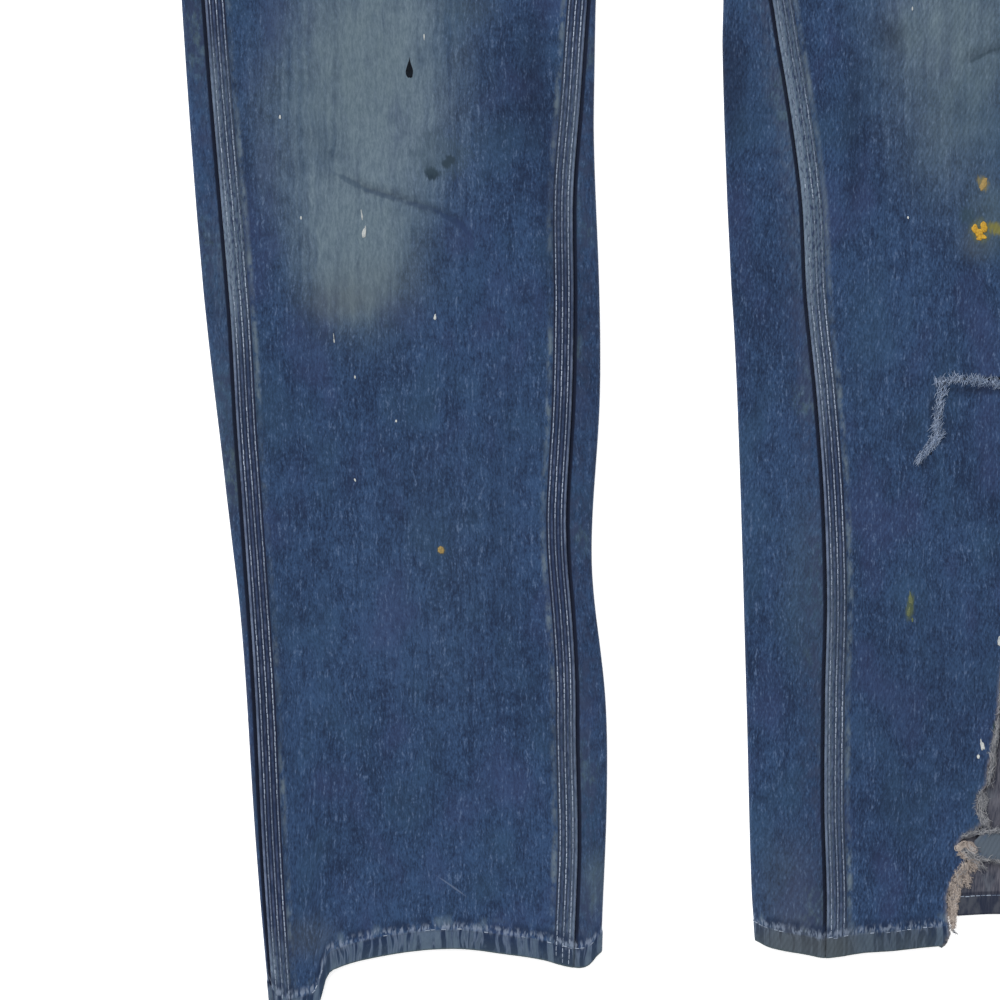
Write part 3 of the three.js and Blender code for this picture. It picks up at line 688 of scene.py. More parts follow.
# Soaked-in spots, and thin lines of painted shade along two creases: pattern place, half-sizes,
# turn in degrees, colour and strength.
stainsAndCreaseShade = [
    (-151.6, 527.6, 7.2, 5.4, 0, (28, 44, 58), 1),
    (-142.2, 534.6, 4.6, 4, 0, (22, 38, 54), 1),
    (-139.2, 537.4, 3.6, 4.6, -30, (20, 36, 54), 1),
    (-146, 540, 26, 18, 0, (62, 80, 92), 0.35),
    (240, 70, 34, 20, 0, (78, 88, 99), 0.95),
    (232, 490.5, 8.5, 6, 20, (118, 112, 40), 0.75),
    (221, 489, 9, 9.5, 0, (92, 98, 64), 0.55),
    (212, 499, 6.5, 7.5, 0, (42, 62, 74), 0.6),
    (223.4, 520.9, 4.6, 6.6, -30, (128, 116, 62), 0.7),
    (173.4, 234.5, 3.4, 13, 8, (74, 84, 56), 0.8),
    (232.8, 149.6, 4, 7, 0, (30, 52, 44), 0.8),
    (-145.5, 272, 4, 4.4, 0, (70, 80, 80), 0.6),
    (-150, 905, 9, 5, 30, (120, 112, 66), 0.6),
    (120, 960, 6, 9, 0, (34, 46, 58), 0.7),
    (-138.4, 43, 0.7, 15, 125, (110, 124, 148), 0.4),
    # painted shade along the first crease, laid as six thin lines
    (-208, 523, 2.2, 16, 118, (56, 74, 92), 0.6),
    (-184, 513, 2.2, 14, 107, (54, 70, 90), 0.6),
    (-160, 506, 2.2, 14, 104, (50, 66, 90), 0.55),
    (-141, 498, 2.4, 12, 120, (36, 54, 84), 0.7),
    (-130, 491, 2.4, 9, 142, (34, 50, 84), 0.6),
    (-125, 479, 2.4, 10, 170, (36, 50, 84), 0.5),
    # painted shade along the second crease
    (222, 608, 1.5, 12, -118, (46, 62, 74), 0.7),
    (150, 5, 66, 11, 0, (60, 70, 77), 0.45),
    # painted shade along the second crease, its last line
    (238, 614, 1.5, 12, -106, (46, 62, 74), 0.6),
]


def grainAt(x):  # the weave coordinate across, on a leg's top face
    return (0.5 * math.pi - 1) * pattern["rollRadius"] - abs(x)


def makeDenim(name, rows=(), band=0.0, ditch=False, spots=()):
    # rows are stitch lines and band the doubled width, both in mm from the piece's own edge
    look = denimLook
    f = Finish(name, Roughness=0.9, Specular_IOR_Level=0.22, Sheen_Weight=0.05,
               Sheen_Roughness=0.6)
    # the yarns, and clouds of all sizes in them
    weave = f.add("ShaderNodeUVMap", {"uv_map": "weave"})
    drift = f.add("ShaderNodeTexNoise", {}, {"Vector": f.stretch(weave, (60, 48, 1)), "Scale": 1.0,
                                             "Detail": 1.0}, out=1)
    yarn = f.add("ShaderNodeVectorMath", {"operation": "MULTIPLY_ADD"},
                 {0: drift, 1: (0.005, 0.002, 0), 2: weave})
    slub = f.noise(yarn, (660, 130, 1), 3.0, 0.62)
    fleck = f.noise(yarn, (1150, 420, 1), 2.0, 0.6)
    long = f.noise(yarn, (260, 12, 1), 2.0, 0.55)
    mottle = f.noise(weave, (85, 55, 1), 4.0, 0.62)
    cloud = f.noise(weave, (13, 8, 1), 3.0, 0.5)
    puff = f.noise(weave, (210, 110, 1), 3.0, 0.6)
    slant = f.noise(yarn, (820, 240, 1), 2.0, 0.5, 0.5)
    rope = f.noise(weave, (300, 170, 1), 3.0, 0.6)
    patches = f.noise(weave, (26, 20, 1), 2.0)
    worn = f.ramp(patches, 0.36, 0.62)
    seamAway, hemAway, rub, fade, earth = [
        f.value(name) for name in ("seamAway", "hemAway", "rub", "fade", "earth")]
    tone = (slub - 0.5) * 1.9 + (fleck - 0.5) * 1.8 + (long - 0.5) * 0.6 + (mottle - 0.5) * 1.2
    tone = tone + (cloud - 0.5) * 0.8 + 0.46
    f.colour = f.blend(f.ramp(tone, -0.15, 1.05), look["deep"], look["mid"])
    hue = f.noise(weave, (24, 15, 1), 2.0)
    f.lay(f.ramp(hue, 0.5, 0.72) * 0.4, look["violet"])
    f.lay(f.ramp(hue, 0.5, 0.3) * 0.3, look["teal"])
    slubs = f.ramp(slub + (fleck - 0.5) * 0.6 + (long - 0.5) * 0.4, 0.6, 0.76)
    f.lay(slubs * 0.6, look["slub"])
    # knee fades, then dirt
    broad = f.noise(weave, (34, 20, 1), 3.0, 0.6)
    faded = f.ramp(fade + (long - 0.5) * fade * 1.3 + (mottle - 0.5) * fade * 0.9
                   + (broad - 0.5) * fade * 0.9, 0.02, 0.95)
    f.lay(faded, f.blend(f.ramp(slub + fleck * 0.5 - 0.25, 0.25, 0.75), look["fadeLow"],
                         look["fadeHigh"]))
    grime = f.value("grime") * (0.25 + mottle * 1.2)
    f.lay(grime * 0.6, look["green"])
    f.lay(earth * (0.3 + mottle) * 0.9, look["brown"])
    if band:  # the doubled edge, roped and bordered by a ridge
        doubled = f.ramp(seamAway, band + 0.5, band - 0.5)
        f.lay(doubled * 0.75, look["band"])
        roped = f.ramp(rope, 0.42, 0.62) * (0.3 + worn * 0.5 + rub * 0.3)
        f.lay(doubled * roped * 0.85, look["bandWorn"])
        reach = f.ramp(f.noise(weave, (40, 28, 1), 2.0), 0.4, 0.65)
        ridge = f.hump(seamAway, band + 2.2, 3.2) * f.ramp(puff + rub * 0.1, 0.36, 0.62)
        f.lay(ridge * (0.15 + reach * 0.75 + rub * 0.3), look["ridge"])
        # painted shadow along the step where the doubled edge ends
        f.lay(f.hump(seamAway, band - 0.3, 0.7) * 0.6, look["paintedShade"])
    if rows:  # threads pressed into the cloth, with painted shade in the grooves beside them, and the folded edge
        for row in rows:
            beside = f.hump(seamAway, row - 1.0, 0.9) + f.hump(seamAway, row + 1.0, 0.9)
            f.lay(beside * (0.55 + rope * 0.7), look["paintedShade"])
            f.lay(f.hump(seamAway, row, 0.6) * 0.45, look["chalk"])
        edge = f.ramp(seamAway, 1.7, 1.2) * f.ramp(seamAway, 0.0, 0.35, 0.3)
        rubbed = f.ramp(f.noise(weave, (60, 22, 1), 3.0, 0.6), 0.32, 0.66, 0.2)
        f.lay(edge * (0.25 + rope * 0.6) * rubbed, look["chalk"])
    if band:  # where the doubled edge is rubbed pale
        worndown = doubled * rub * f.ramp(slant, 0.38, 0.56, 0.3)
        f.lay(worndown * 0.8, look["bandRub"])
        f.lay(doubled * rub * f.ramp(slant, 0.49, 0.38) * 0.75, look["band"])
        lip = f.ramp(seamAway, 5.4, 4.2) * rub * f.ramp(slant, 0.34, 0.5, 0.4)
        f.lay(lip * 0.75, look["lip"])
    if ditch:  # the back panel beside a lapped seam: darker and greener patches, rubbed spots and the painted shadow in the ditch
        margin = f.ramp(seamAway, 24.0, 8.0)
        f.lay(margin * f.ramp(puff, 0.62, 0.38) * (0.4 + worn * 0.4), look["margin"])
        stale = f.ramp(patches, 0.52, 0.7) * f.ramp(puff, 0.4, 0.65)
        f.lay(margin * stale * 0.5, look["green"])
        f.lay(f.ramp(seamAway, 60.0, 14.0) * rub * f.ramp(slub, 0.3, 0.65) * 0.5, look["bandRub"])
        # painted shadow in the ditch beside the front's fold
        f.lay(f.ramp(seamAway, 4.0, 2.8) * 0.95, look["paintedShade"])
    # the turned hem, and the cloth just above it
    hemBand = f.ramp(hemAway + (puff - 0.5) * 4.0, 14.0, 12.6)
    stripe = f.noise(yarn, (210, 18, 1), 2.0, 0.5, 0.12)
    f.lay(hemBand * 0.65, look["hem"])
    f.lay(hemBand * f.ramp(stripe, 0.5, 0.42) * 0.75, look["deep"])
    f.lay(hemBand * f.ramp(stripe, 0.47, 0.62) * (0.35 + rope * 0.8), look["hemWorn"])
    f.lay(hemBand * f.hump(stripe, 0.51, 0.035) * 0.3, look["chalk"])
    f.lay(hemBand * f.ramp(puff, 0.5, 0.7) * 0.3, look["hemWorn"])
    f.lay(hemBand * f.ramp(hemAway, 12.0, 1.0) * 0.15, look["green"])
    f.lay(hemBand * earth * 0.75, look["brown"])
    hollow = f.noise(yarn, (85, 50, 1), 2.0, 0.5, 0.3)
    above = f.hump(hemAway, 18.5, 6.5)
    # painted shade in the hollows just above the hem
    f.lay(above * f.ramp(hollow, 0.55, 0.43) * 0.75, look["deep"])
    f.lay(above * f.ramp(hollow, 0.54, 0.68) * 0.5 * (0.4 + puff), look["pale"])
    loops = f.ramp(f.noise(yarn, (430, 130, 1), 2.0, 0.6, 0.25), 0.45, 0.58)
    tall = f.hump(hemAway + (puff - 0.5) * 6.0, 15.4, 4.4)
    f.lay(tall * loops * 0.66, look["thread"])
    # painted shade along the hem's fold
    f.lay(f.hump(hemAway, 12.3, 0.9) * 0.35 * puff, look["paintedShade"])
    f.lay(f.ramp(hemAway, 1.6, 0.3) * (0.3 + rope * 0.6), look["green"])
    # torn edges, painted shade in creases and darker patches, and soaked spots with painted crease
    # lines
    f.lay(f.value("torn") * f.ramp(puff, 0.3, 0.6, 0.2) * 0.8, look["lint"])
    f.lay(f.value("shade") * 0.8, look["paintedShade"])
    # stains, and thin lines of painted crease shade
    for x, y, wide, tall, turn, layerColour, strength in spots:
        centre = (grainAt(x) / 1000, (y + pattern["leftWeave"] * (x > 0)) / 1000, 0)
        away = f.add("ShaderNodeVectorMath", {"operation": "SUBTRACT"}, {0: weave, 1: centre})
        away = f.stretch(away, (1, 1, 1), math.radians(turn if x < 0 else -turn))
        away = f.stretch(away, (1000 / wide, 1000 / tall, 1))
        far = f.add("ShaderNodeVectorMath", {"operation": "LENGTH"}, {0: away}, out=1)
        ragged = far + (mottle - 0.5) * 1.2 + (slub - 0.5) * 0.8
        f.lay(f.ramp(ragged, 1.05, 0.45) * strength, tint(*layerColour))
    twill = f.add("ShaderNodeTexWave", {"wave_type": "BANDS", "bands_direction": "DIAGONAL"},
                  {"Vector": f.stretch(weave, (1, 0.55, 1)), "Scale": 190.0, "Distortion": 1.5,
                   "Detail": 1.0}, out=1)
    height = slub * 0.6 + fleck * 0.5 + twill * 0.5 + mottle * 0.6
    return f.ends(Base_Color=f.colour, Roughness=0.86 + mottle * 0.12,
                  Normal=f.bump(height, 0.6, 0.0006))


def makeInside():
    f = Finish("denimInside", Specular_IOR_Level=0.2)
    weave = f.add("ShaderNodeUVMap", {"uv_map": "weave"})
    slub = f.noise(weave, (600, 90, 1), 3.0, 0.6)
    cloud = f.noise(weave, (40, 30, 1), 3.0)
    patch = f.noise(weave, (95, 60, 1), 3.0, 0.6)
    f.colour = f.blend(f.ramp(slub * 0.5 + cloud * 0.5, 0.38, 0.62), tint(48, 51, 64),
                       tint(94, 94, 103))
    f.lay(f.ramp(patch, 0.5, 0.7) * 0.5, tint(92, 98, 108))
    hem = f.ramp(f.value("hemAway"), 15.0, 13.5)
    f.lay(hem * 0.85, f.blend(f.ramp(patch, 0.42, 0.62), tint(28, 36, 54), tint(60, 64, 74)))
    # painted shade along the turned hem's edge
    f.lay(f.hump(f.value("hemAway"), 15.0, 2.0) * 0.6, denimLook["paintedShade"])
    return f.ends(Base_Color=f.colour, Roughness=0.95, Normal=f.bump(slub, 0.5, 0.0005))


def makePlain(name, low, high, scale, rough, metal=0.0, bump=0.3, gloss=0.3):  # metal or paint
    f = Finish(name, Metallic=metal, Specular_IOR_Level=gloss)
    where = f.add("ShaderNodeTexCoord", out=3)
    grain = f.noise(where, (scale, scale, scale), 3.0, 0.6)
    broad = f.noise(where, (scale / 9, scale / 9, scale / 9), 2.0)
    colour = f.blend(f.ramp(grain * 0.6 + broad * 0.4, 0.3, 0.7), tint(*low), tint(*high))
    return f.ends(Base_Color=colour, Roughness=rough - 0.1 + grain * 0.2,
                  Normal=f.bump(grain, bump, 0.0003))


def makeFibre(name, low, high, scale):  # cotton thread, each one its own shade
    f = Finish(name, Specular_IOR_Level=0.2)
    where = f.add("ShaderNodeTexCoord", out=3)
    grain = f.noise(where, (scale, scale, scale), 2.0, 0.6)
    colour = f.blend(f.value("tone") * 0.8 + (grain - 0.4) * 0.7, tint(*low), tint(*high))
    return f.ends(Base_Color=colour, Roughness=0.85 + grain * 0.1,
                  Normal=f.bump(grain, 0.3, 0.0002))


finishes = {
    "front": makeDenim("denimFront", pattern["stitchRows"], pattern["bandWidth"], spots=stainsAndCreaseShade),
    "back": makeDenim("denimBack", ditch=True),
    "bib": makeDenim("denimBib", bib["rows"], bib["sideHem"]),
    "strap": makeDenim("denimStrap", strap["rows"]),
    "inside": makeInside(),
    "thread": makeFibre("stitchThread", (80, 92, 114), (184, 196, 214), 500),
    "fray": makeFibre("frayedCotton", (64, 84, 116), (172, 186, 208), 700),
    "paleFray": makeFibre("paleCotton", (84, 90, 102), (178, 178, 180), 700),
    "dustyFray": makeFibre("dustyCotton", (108, 98, 96), (212, 200, 190), 500),
    "brass": makePlain("agedBrass", (122, 108, 80), (176, 160, 124), 400, 0.45, 1.0, 0.2, 0.5),
    "black": makePlain("blackPaint", (6, 10, 16), (20, 26, 34), 500, 0.6, gloss=0.06),
    "cream": makePlain("creamPaint", (146, 152, 156), (192, 194, 190), 900, 0.6),
    "ochre": makePlain("ochrePaint", (112, 98, 62), (158, 132, 78), 900, 0.7),
    "yellow": makePlain("yellowPaint", (138, 98, 20), (206, 164, 48), 900, 0.55, bump=0.8),
    "olive": makePlain("olivePaint", (70, 82, 60), (98, 104, 72), 900, 0.75),
}
print("finishes made")


rowsRight = steps(0, (18, 1.3), (650, 2.9), (790, 7), (850, 3.5), (1118, 6.5))
rowsLeft = steps(0, (18, 1.3), (212, 1.7), (330, 3.2), (396, 1.7), (650, 3.2), (790, 7),
                 (850, 3.5), (1118, 6.5))
rowsBack = steps(0, (18, 1.6), (650, 3.4), (790, 8), (850, 4), (1118, 8))
evenCells = np.linspace(0, 1, 68)
denseCells = np.concatenate([np.linspace(0, 0.66, 60)[:-1], np.linspace(0.66, 1, 20)])

cloths = {}  # every cloth piece by its node
for name, leg, side, rows, cells in [
        ("right_leg_front", rightLeg, "front", rowsRight, evenCells),
        ("left_leg_front", leftLeg, "front", rowsLeft, denseCells),
        ("right_leg_back", rightLeg, "back", rowsBack, None),
        ("left_leg_back", leftLeg, "back", rowsBack, None)]:
    mesh = legMesh(name, leg, side, rows, cells)
    if name == "left_leg_front":
        tear(mesh)
    if side == "front":
        cloths[name] = clothPiece(name, mesh, side, pattern["ply"])
    else:
        rowAt = np.empty(len(mesh.vertices))
        mesh.attributes["hemAway"].data.foreach_get("value", rowAt)
        weights = np.where(rowAt <= pattern["hemDepth"] + 0.5, 1.0, pattern["single"])
        cloths[name] = clothPiece(name, mesh, side, pattern["backPly"], weights)
print("legs made")


def frontFace(x, y):  # the front layer's plain height above the crotch
    outer = np.where(x < 0, through(rightLeg["outer"], y), through(leftLeg["outer"], y))
    fromFold = np.maximum(0, np.abs(x - outer) - pattern["rollRadius"])
    rise = 2 * pattern["rollRadius"] - pattern["frontHeight"]
    body = pattern["frontHeight"] + rise * bell(fromFold, pattern["rollReach"])
    settle = smooth(waistband["to"], waistband["to"] + 80, y)
    return body + (pattern["bibHeight"] - body) * settle


def bibFrontPoint(x, y, sideAway, topAway):
    calm = smooth(2, 30, np.minimum(sideAway, topAway))
    z = frontFace(x, y)
    z = z + (0.8 * blotch(x / 80, y / 90, 41) + 0.45 * blotch(x / 33, y / 45, 42)) * calm
    z = z + 0.35 * bell(sideAway - 13, 5) * (1 + blotch(sideAway / 15, y / 5, 43))
    z = z + 0.35 * bell(topAway - 17, 5) * (1 + blotch(x / 6, topAway / 15, 44))
    z = z + 0.75 * (1 - smooth(10.6, 12.0, sideAway)) + 0.8 * (1 - smooth(13.6, 15, topAway))
    for away, rows in ((sideAway, bib["rows"]), (topAway, bib["topRows"])):
        for row in rows:
            z = z - 0.3 * bell(away - row, 0.8)
    return z


def buildBibFront():
    rows = steps(bib["foot"], (1385, 3.0), (bib["top"], 1.3))
    cells = np.concatenate([np.linspace(-1, -0.9, 14)[:-1], np.linspace(-0.9, 0.9, 92),
                            np.linspace(0.9, 1, 14)[1:]])
    mesh, column, row = clothGrid("bib_front", len(cells) - 1, len(rows) - 1)
    y = rows[row]
    half = through(bib["half"], y)
    x = cells[column] * half
    sideAway, topAway = half - np.abs(x), bib["top"] - y
    z = bibFrontPoint(x, y, sideAway, topAway)
    values = {"seamAway": sideAway + 40 * (y < waistband["to"]), "hemAway": topAway,
              **marksAt(x, y)}
    dress(mesh, place(x, y, z), np.stack([x + 600, y], axis=-1), values)
    return clothPiece("bib_front", mesh, "bib", pattern["ply"])


def buildBibBack():
    rows = steps(bib["foot"], (1425, 5.0), (bib["backTop"], 1.5))
    cells = np.linspace(-1, 1, 81)
    mesh, column, row = clothGrid("bib_back", len(cells) - 1, len(rows) - 1)
    y = rows[row]
    half = through(bib["backHalf"], y)
    x = cells[column] * half
    sideAway, topAway = half - np.abs(x), bib["backTop"] - y
    values = {"seamAway": sideAway, "hemAway": np.minimum(topAway, sideAway + 3), **marksAt(x, y)}
    dress(mesh, place(x, y, np.zeros(len(x))), np.stack([x + 900, y], axis=-1), values,
          turned=True)
    weights = np.where(np.minimum(topAway, sideAway) < 11.5, 0.85, pattern["single"])
    return clothPiece("bib_back", mesh, "bib", pattern["backPly"], weights)


def waistbandPoint(x, y):
    edge = np.minimum(y - waistband["from"], waistband["to"] - y)
    z = frontFace(x, y) + waistband["stand"]
    z = z + 0.3 * blotch(x / 30, y / 30, 51)
    z = z + 0.25 * blotch(x / 7, y / 20, 52) * smooth(1, 6, edge)
    return z - 1.1 * np.exp(-edge / 1.3) - 0.3 * bell(edge - waistband["row"], 0.8)


def waistReach(leg):  # how far the waistband runs from the middle on a leg's side
    return abs(float(through(leg["outer"], waistband["from"])))


def buildWaistband():
    rows = steps(waistband["from"], (1109, 1.0), (1135, 2.6), (waistband["to"], 1.0))
    cells = np.linspace(-1, 1, 201)
    mesh, column, row = clothGrid("waistband", len(cells) - 1, len(rows) - 1)
    y, t = rows[row], cells[column]
    reach = np.where(t < 0, waistReach(rightLeg), waistReach(leftLeg)) - waistband["end"]
    x = t * reach
    endAway = reach * (1 - np.abs(t))
    edge = np.minimum(np.minimum(y - waistband["from"], waistband["to"] - y), endAway)
    z = waistbandPoint(x, y) - 0.8 * np.exp(-endAway / 1.5)
    values = {"seamAway": edge, "hemAway": 99, **marksAt(x, y)}
    dress(mesh, place(x, y, z), np.stack([y + 1400, x], axis=-1), values)
    return clothPiece("waistband", mesh, "strap", pattern["ply"])


lean = math.atan2(strap["button"][0] - strap["shoulder"][0],
                  strap["shoulder"][1] - strap["button"][1])
shoulderAt = (strap["shoulder"][1] - strap["button"][1]) / math.cos(lean)


def between(low, high, share):
    return low + (high - low) * float(share)


def strapRoute(side):  # x, y, z and plan turn of a strap's middle, from its sewn tip
    thick, gap = strap["thick"], pattern["gap"]
    returnRun = pattern["bibHeight"] + gap + thick / 2
    overBar = returnRun + thick + 2 * gap + strap["buckle"]
    sliderTop = strap["run"] + thick + 2 * gap + strap["buckle"]
    route = []

    def front(d, z):
        upright = float(smooth(strap["slider"] + 20, shoulderAt - 5, d))
        route.append((side * (strap["button"][0] - d * math.sin(lean)),
                      strap["button"][1] + d * math.cos(lean), z, side * lean * (1 - upright)))

    for d in (80, 66, 52, 38, 24, 12, 4):
        front(strap["bar"] + d, between(returnRun, strap["run"] - 1.8, smooth(4, 40, d)))
    turn = (overBar - returnRun) / 2
    for i in range(9):
        angle = -math.pi / 2 - math.pi * i / 8
        front(strap["bar"] + turn * math.cos(angle), returnRun + turn + turn * math.sin(angle))
    for d in (6, 14, 24, 36, 46):
        front(strap["bar"] + d, between(overBar, strap["run"], smooth(6, 46, d)))
    for d in (-9.3, -7.4, -5.5, -3.6, -1.7, 0, 1.7, 3.6, 5.5, 7.4, 9.3):
        front(strap["slider"] + d, between(sliderTop, strap["run"], smooth(1.7, 9.3, abs(d))))
    for d in (25, 45, 65, 80):
        front(strap["slider"] + d, between(strap["run"], strap["rest"], smooth(15, 75, d)))
    low = thick / 2
    turn = (strap["rest"] - low) / 2
    shoulderX, shoulderY = strap["shoulder"]
    for i in range(9):
        angle = math.pi / 2 - math.pi * i / 8
        route.append((side * shoulderX, shoulderY - turn + turn * math.cos(angle),
                      low + turn + turn * math.sin(angle), 0.0))
    top = bib["backTop"]
    slope = (shoulderX - strap["foot"]) / (shoulderY - top)
    laid = pattern["ply"] + 0.1 + gap + thick / 2
    for y, z in ((shoulderY - 30, low), (shoulderY - 65, low), (top + 12, low),
                 (top + 9, None), (top + 6, None), (top + 3, None),
                 (top - strap["lap"] / 2, laid), (top - strap["lap"], laid)):
        if z is None:
            z = between(laid, low, smooth(top + 3, top + 12, y))
        x = strap["foot"] + slope * max(0, y - top)
        route.append((side * x, y, z, 0.0))
    return np.array(route)


def distancesAlong(points):  # how far along a route each of its points is
    return np.concatenate([[0], np.cumsum(np.linalg.norm(np.diff(points, axis=0), axis=1))])


def fineRoute(side):  # the route at close steps
    route = strapRoute(side)
    at = distancesAlong(route[:, :3])
    fine = [0.0]
    for start, end in zip(at[:-1], at[1:]):
        count = max(2, int(round((end - start) / 2.6)))
        fine += [start + (end - start) * (k + 1) / count for k in range(count)]
    fine = np.array(fine)
    return np.stack([through(list(zip(at, route[:, k])), fine) for k in range(4)], axis=1), fine


def strapPoint(route, k, across, stand):  # a place at row k, mm across and mm off the middle
    ahead, behind = np.minimum(k + 1, len(route) - 1), np.maximum(k - 1, 0)
    tangent = route[ahead, :3] - route[behind, :3]
    turn = route[k, 3]
    side = np.stack([np.cos(turn), np.sin(turn), 0 * turn], axis=-1)
    normal = np.cross(side, tangent)
    normal /= np.linalg.norm(normal, axis=-1, keepdims=True)
    return route[k, :3] + side * across[..., None] + normal * stand[..., None]


def buildStrap(name, side):
    route, fine = fineRoute(side)
    half = strap["width"] / 2
    inner = half - strap["edge"]
    cells = np.concatenate([np.linspace(-half, -inner, 6)[:-1], np.linspace(-inner, inner, 9),
                            np.linspace(inner, half, 6)[1:]])
    mesh, column, row = clothGrid(name, len(cells) - 1, len(route) - 1)
    across = cells[column]
    edge = half - np.abs(across)
    ripple = 0.05 * blotch(across / 9, fine[row] / 14, 61 + side)
    ripple = ripple - 0.18 * bell(edge - strap["rows"][0], 0.8) - 0.2 * np.exp(-edge / 0.7)
    points = strapPoint(route, row, across, ripple)
    x, y = points[:, 0], points[:, 1]
    values = {"seamAway": edge, "hemAway": 99, "fade": 0.12 + 0.1 * blotch(x / 20, y / 40, 62),
              "grime": 0.15, "earth": 0.0, "shade": 0.0}
    dress(mesh, place(x, y, points[:, 2]),
          np.stack([across + 300 * side + 1700, fine[row]], axis=-1), values)
    piece = clothPiece(name, mesh, "strap", strap["ply"], lined=False)
    piece.modifiers["ply"].offset = 0
    return piece, route


cloths["bib_front"] = buildBibFront()
cloths["bib_back"] = buildBibBack()
cloths["waistband"] = buildWaistband()
strapRoutes = {}
for name, side in (("strap_right", -1), ("strap_left", 1)):
    cloths[name], strapRoutes[side] = buildStrap(name, side)
print("bibs, waistband and straps made")


stitching = {
    "length": 3.5,
    "pitch": 3.6,
    "wide": 0.34,
    "tall": 0.34,
    "sink": 0.05,
    "seed": 11,
    "lost": {  # the share of stitches worn away
        "seam": 0.03, "strap": 0.02, "bibTop": 0.04, "rightHem": 0.72, "leftHemOuter": 0.6,
        "leftHemInner": 0.4, "backHem": 0.6, "under": 0.1,
    },
}


def ball(segments, rings):  # points and triangles of a small ball, to be shaped and repeated
    bm = bmesh.new()
    bmesh.ops.create_uvsphere(bm, u_segments=segments, v_segments=rings, radius=1)
    bmesh.ops.triangulate(bm, faces=bm.faces)
    points = np.array([v.co[:] for v in bm.verts])
    faces = np.array([[v.index for v in f.verts] for f in bm.faces])
    bm.free()
    return points, faces


def stitchForm():  # one thread stitch: points along x, 1 mm half-length, and its faces
    points, faces = ball(5, 3)
    x, y, z = points.T
    points = np.stack([z * 0.5 + 0.34 * (z > 0.1) - 0.34 * (z < -0.1), x, y], axis=1)
    points[:, 0] /= np.abs(points[:, 0]).max()
    return points, faces


stitchPoints, stitchFaces = stitchForm()


class Sewing:  # gathers stitches for one piece
    def __init__(self, name):
        self.name = name
        self.centres, self.alongs, self.ups, self.sizes = [], [], [], []
        self.random = np.random.RandomState(stitching["seed"] + sum(map(ord, name)))

    def run(self, path, ups, lost=0.0, pitch=None, length=None, wobble=0.12):
        pitch = pitch or stitching["pitch"]
        length = length or stitching["length"]
        at = distancesAlong(path)
        count = int(at[-1] / pitch)
        if count < 1:
            return
        centres = (np.arange(count) + 0.5) * at[-1] / count
        keep = self.random.uniform(size=count) >= lost
        centres = centres[keep]

        def sample(values, where):
            return np.stack([np.interp(where, at, values[:, k]) for k in range(3)], axis=1)

        ahead, behind = sample(path, centres + 1.2), sample(path, centres - 1.2)
        along = ahead - behind
        along /= np.linalg.norm(along, axis=1, keepdims=True)
        up = sample(ups, centres)
        side = np.cross(along, up)
        shake = self.random.normal(0, wobble, len(centres))
        self.centres.append(sample(path, centres) + side * shake[:, None])
        self.alongs.append(along)
        self.ups.append(up)
        self.sizes.append(length / 2 * self.random.uniform(0.86, 1.08, len(centres)))

    def build(self):
        centre, along = np.concatenate(self.centres), np.concatenate(self.alongs)
        up, size = np.concatenate(self.ups), np.concatenate(self.sizes)
        side = np.cross(along, up)
        side /= np.linalg.norm(side, axis=1, keepdims=True)
        up = np.cross(side, along)
        centre = centre + up * stitching["sink"]
        ways = (along * size[:, None], side * stitching["wide"], up * stitching["tall"])
        points = centre[:, None] + sum(way[:, None] * reach[None, :, None]
                                       for way, reach in zip(ways, stitchPoints.T))
        points = points.reshape(-1, 3)
        worn = 0.45 + 0.6 * blotch(centre[:, 0] / 9, centre[:, 1] / 26, stitching["seed"])
        worn = worn * (1 - 0.45 * spread(marks["rub"], centre[:, 0], centre[:, 1]))
        tones = np.clip(worn + self.random.normal(0, 0.16, len(centre)), 0, 1)
        points = place(points[:, 0], points[:, 1], np.maximum(points[:, 2], 0.02))
        addPiece(joined(self.name, points, stitchFaces, tones), [finishes["thread"]])


def giveTones(mesh, tones):  # a shade for each of the many small forms in a mesh
    layer = mesh.attributes.new("tone", "FLOAT", "POINT")
    layer.data.foreach_set("value", np.repeat(tones, len(mesh.vertices) // len(tones)))
    mesh.shade_smooth()


def joined(name, points, faces, tones):  # one mesh from many repeats of a small form
    starts = np.arange(len(tones)) * (len(points) // len(tones))
    faces = (faces[None] + starts[:, None, None]).reshape(-1, 3)
    mesh = bpy.data.meshes.new(name)
    mesh.from_pydata(points.tolist(), [], faces.tolist())
    giveTones(mesh, tones)
    bm = bmesh.new()
    bm.from_mesh(mesh)
    bmesh.ops.recalc_face_normals(bm, faces=bm.faces)
    return meshOf(bm, mesh)


def edgesOf(leg, side, rows):  # where a panel starts and ends along the cloth
    return arcsOf(leg, side, rows, evenCells)[1:]


def onLeg(leg, side, along, rows):  # path points and normals on a leg's finished face
    start, end = edgesOf(leg, side, rows)
    x, y, z, nx, nz, _ = legFace(leg, side, along, rows, start, end)
    return np.stack([x, y, z], axis=1), np.stack([nx, 0 * nx, nz], axis=1)


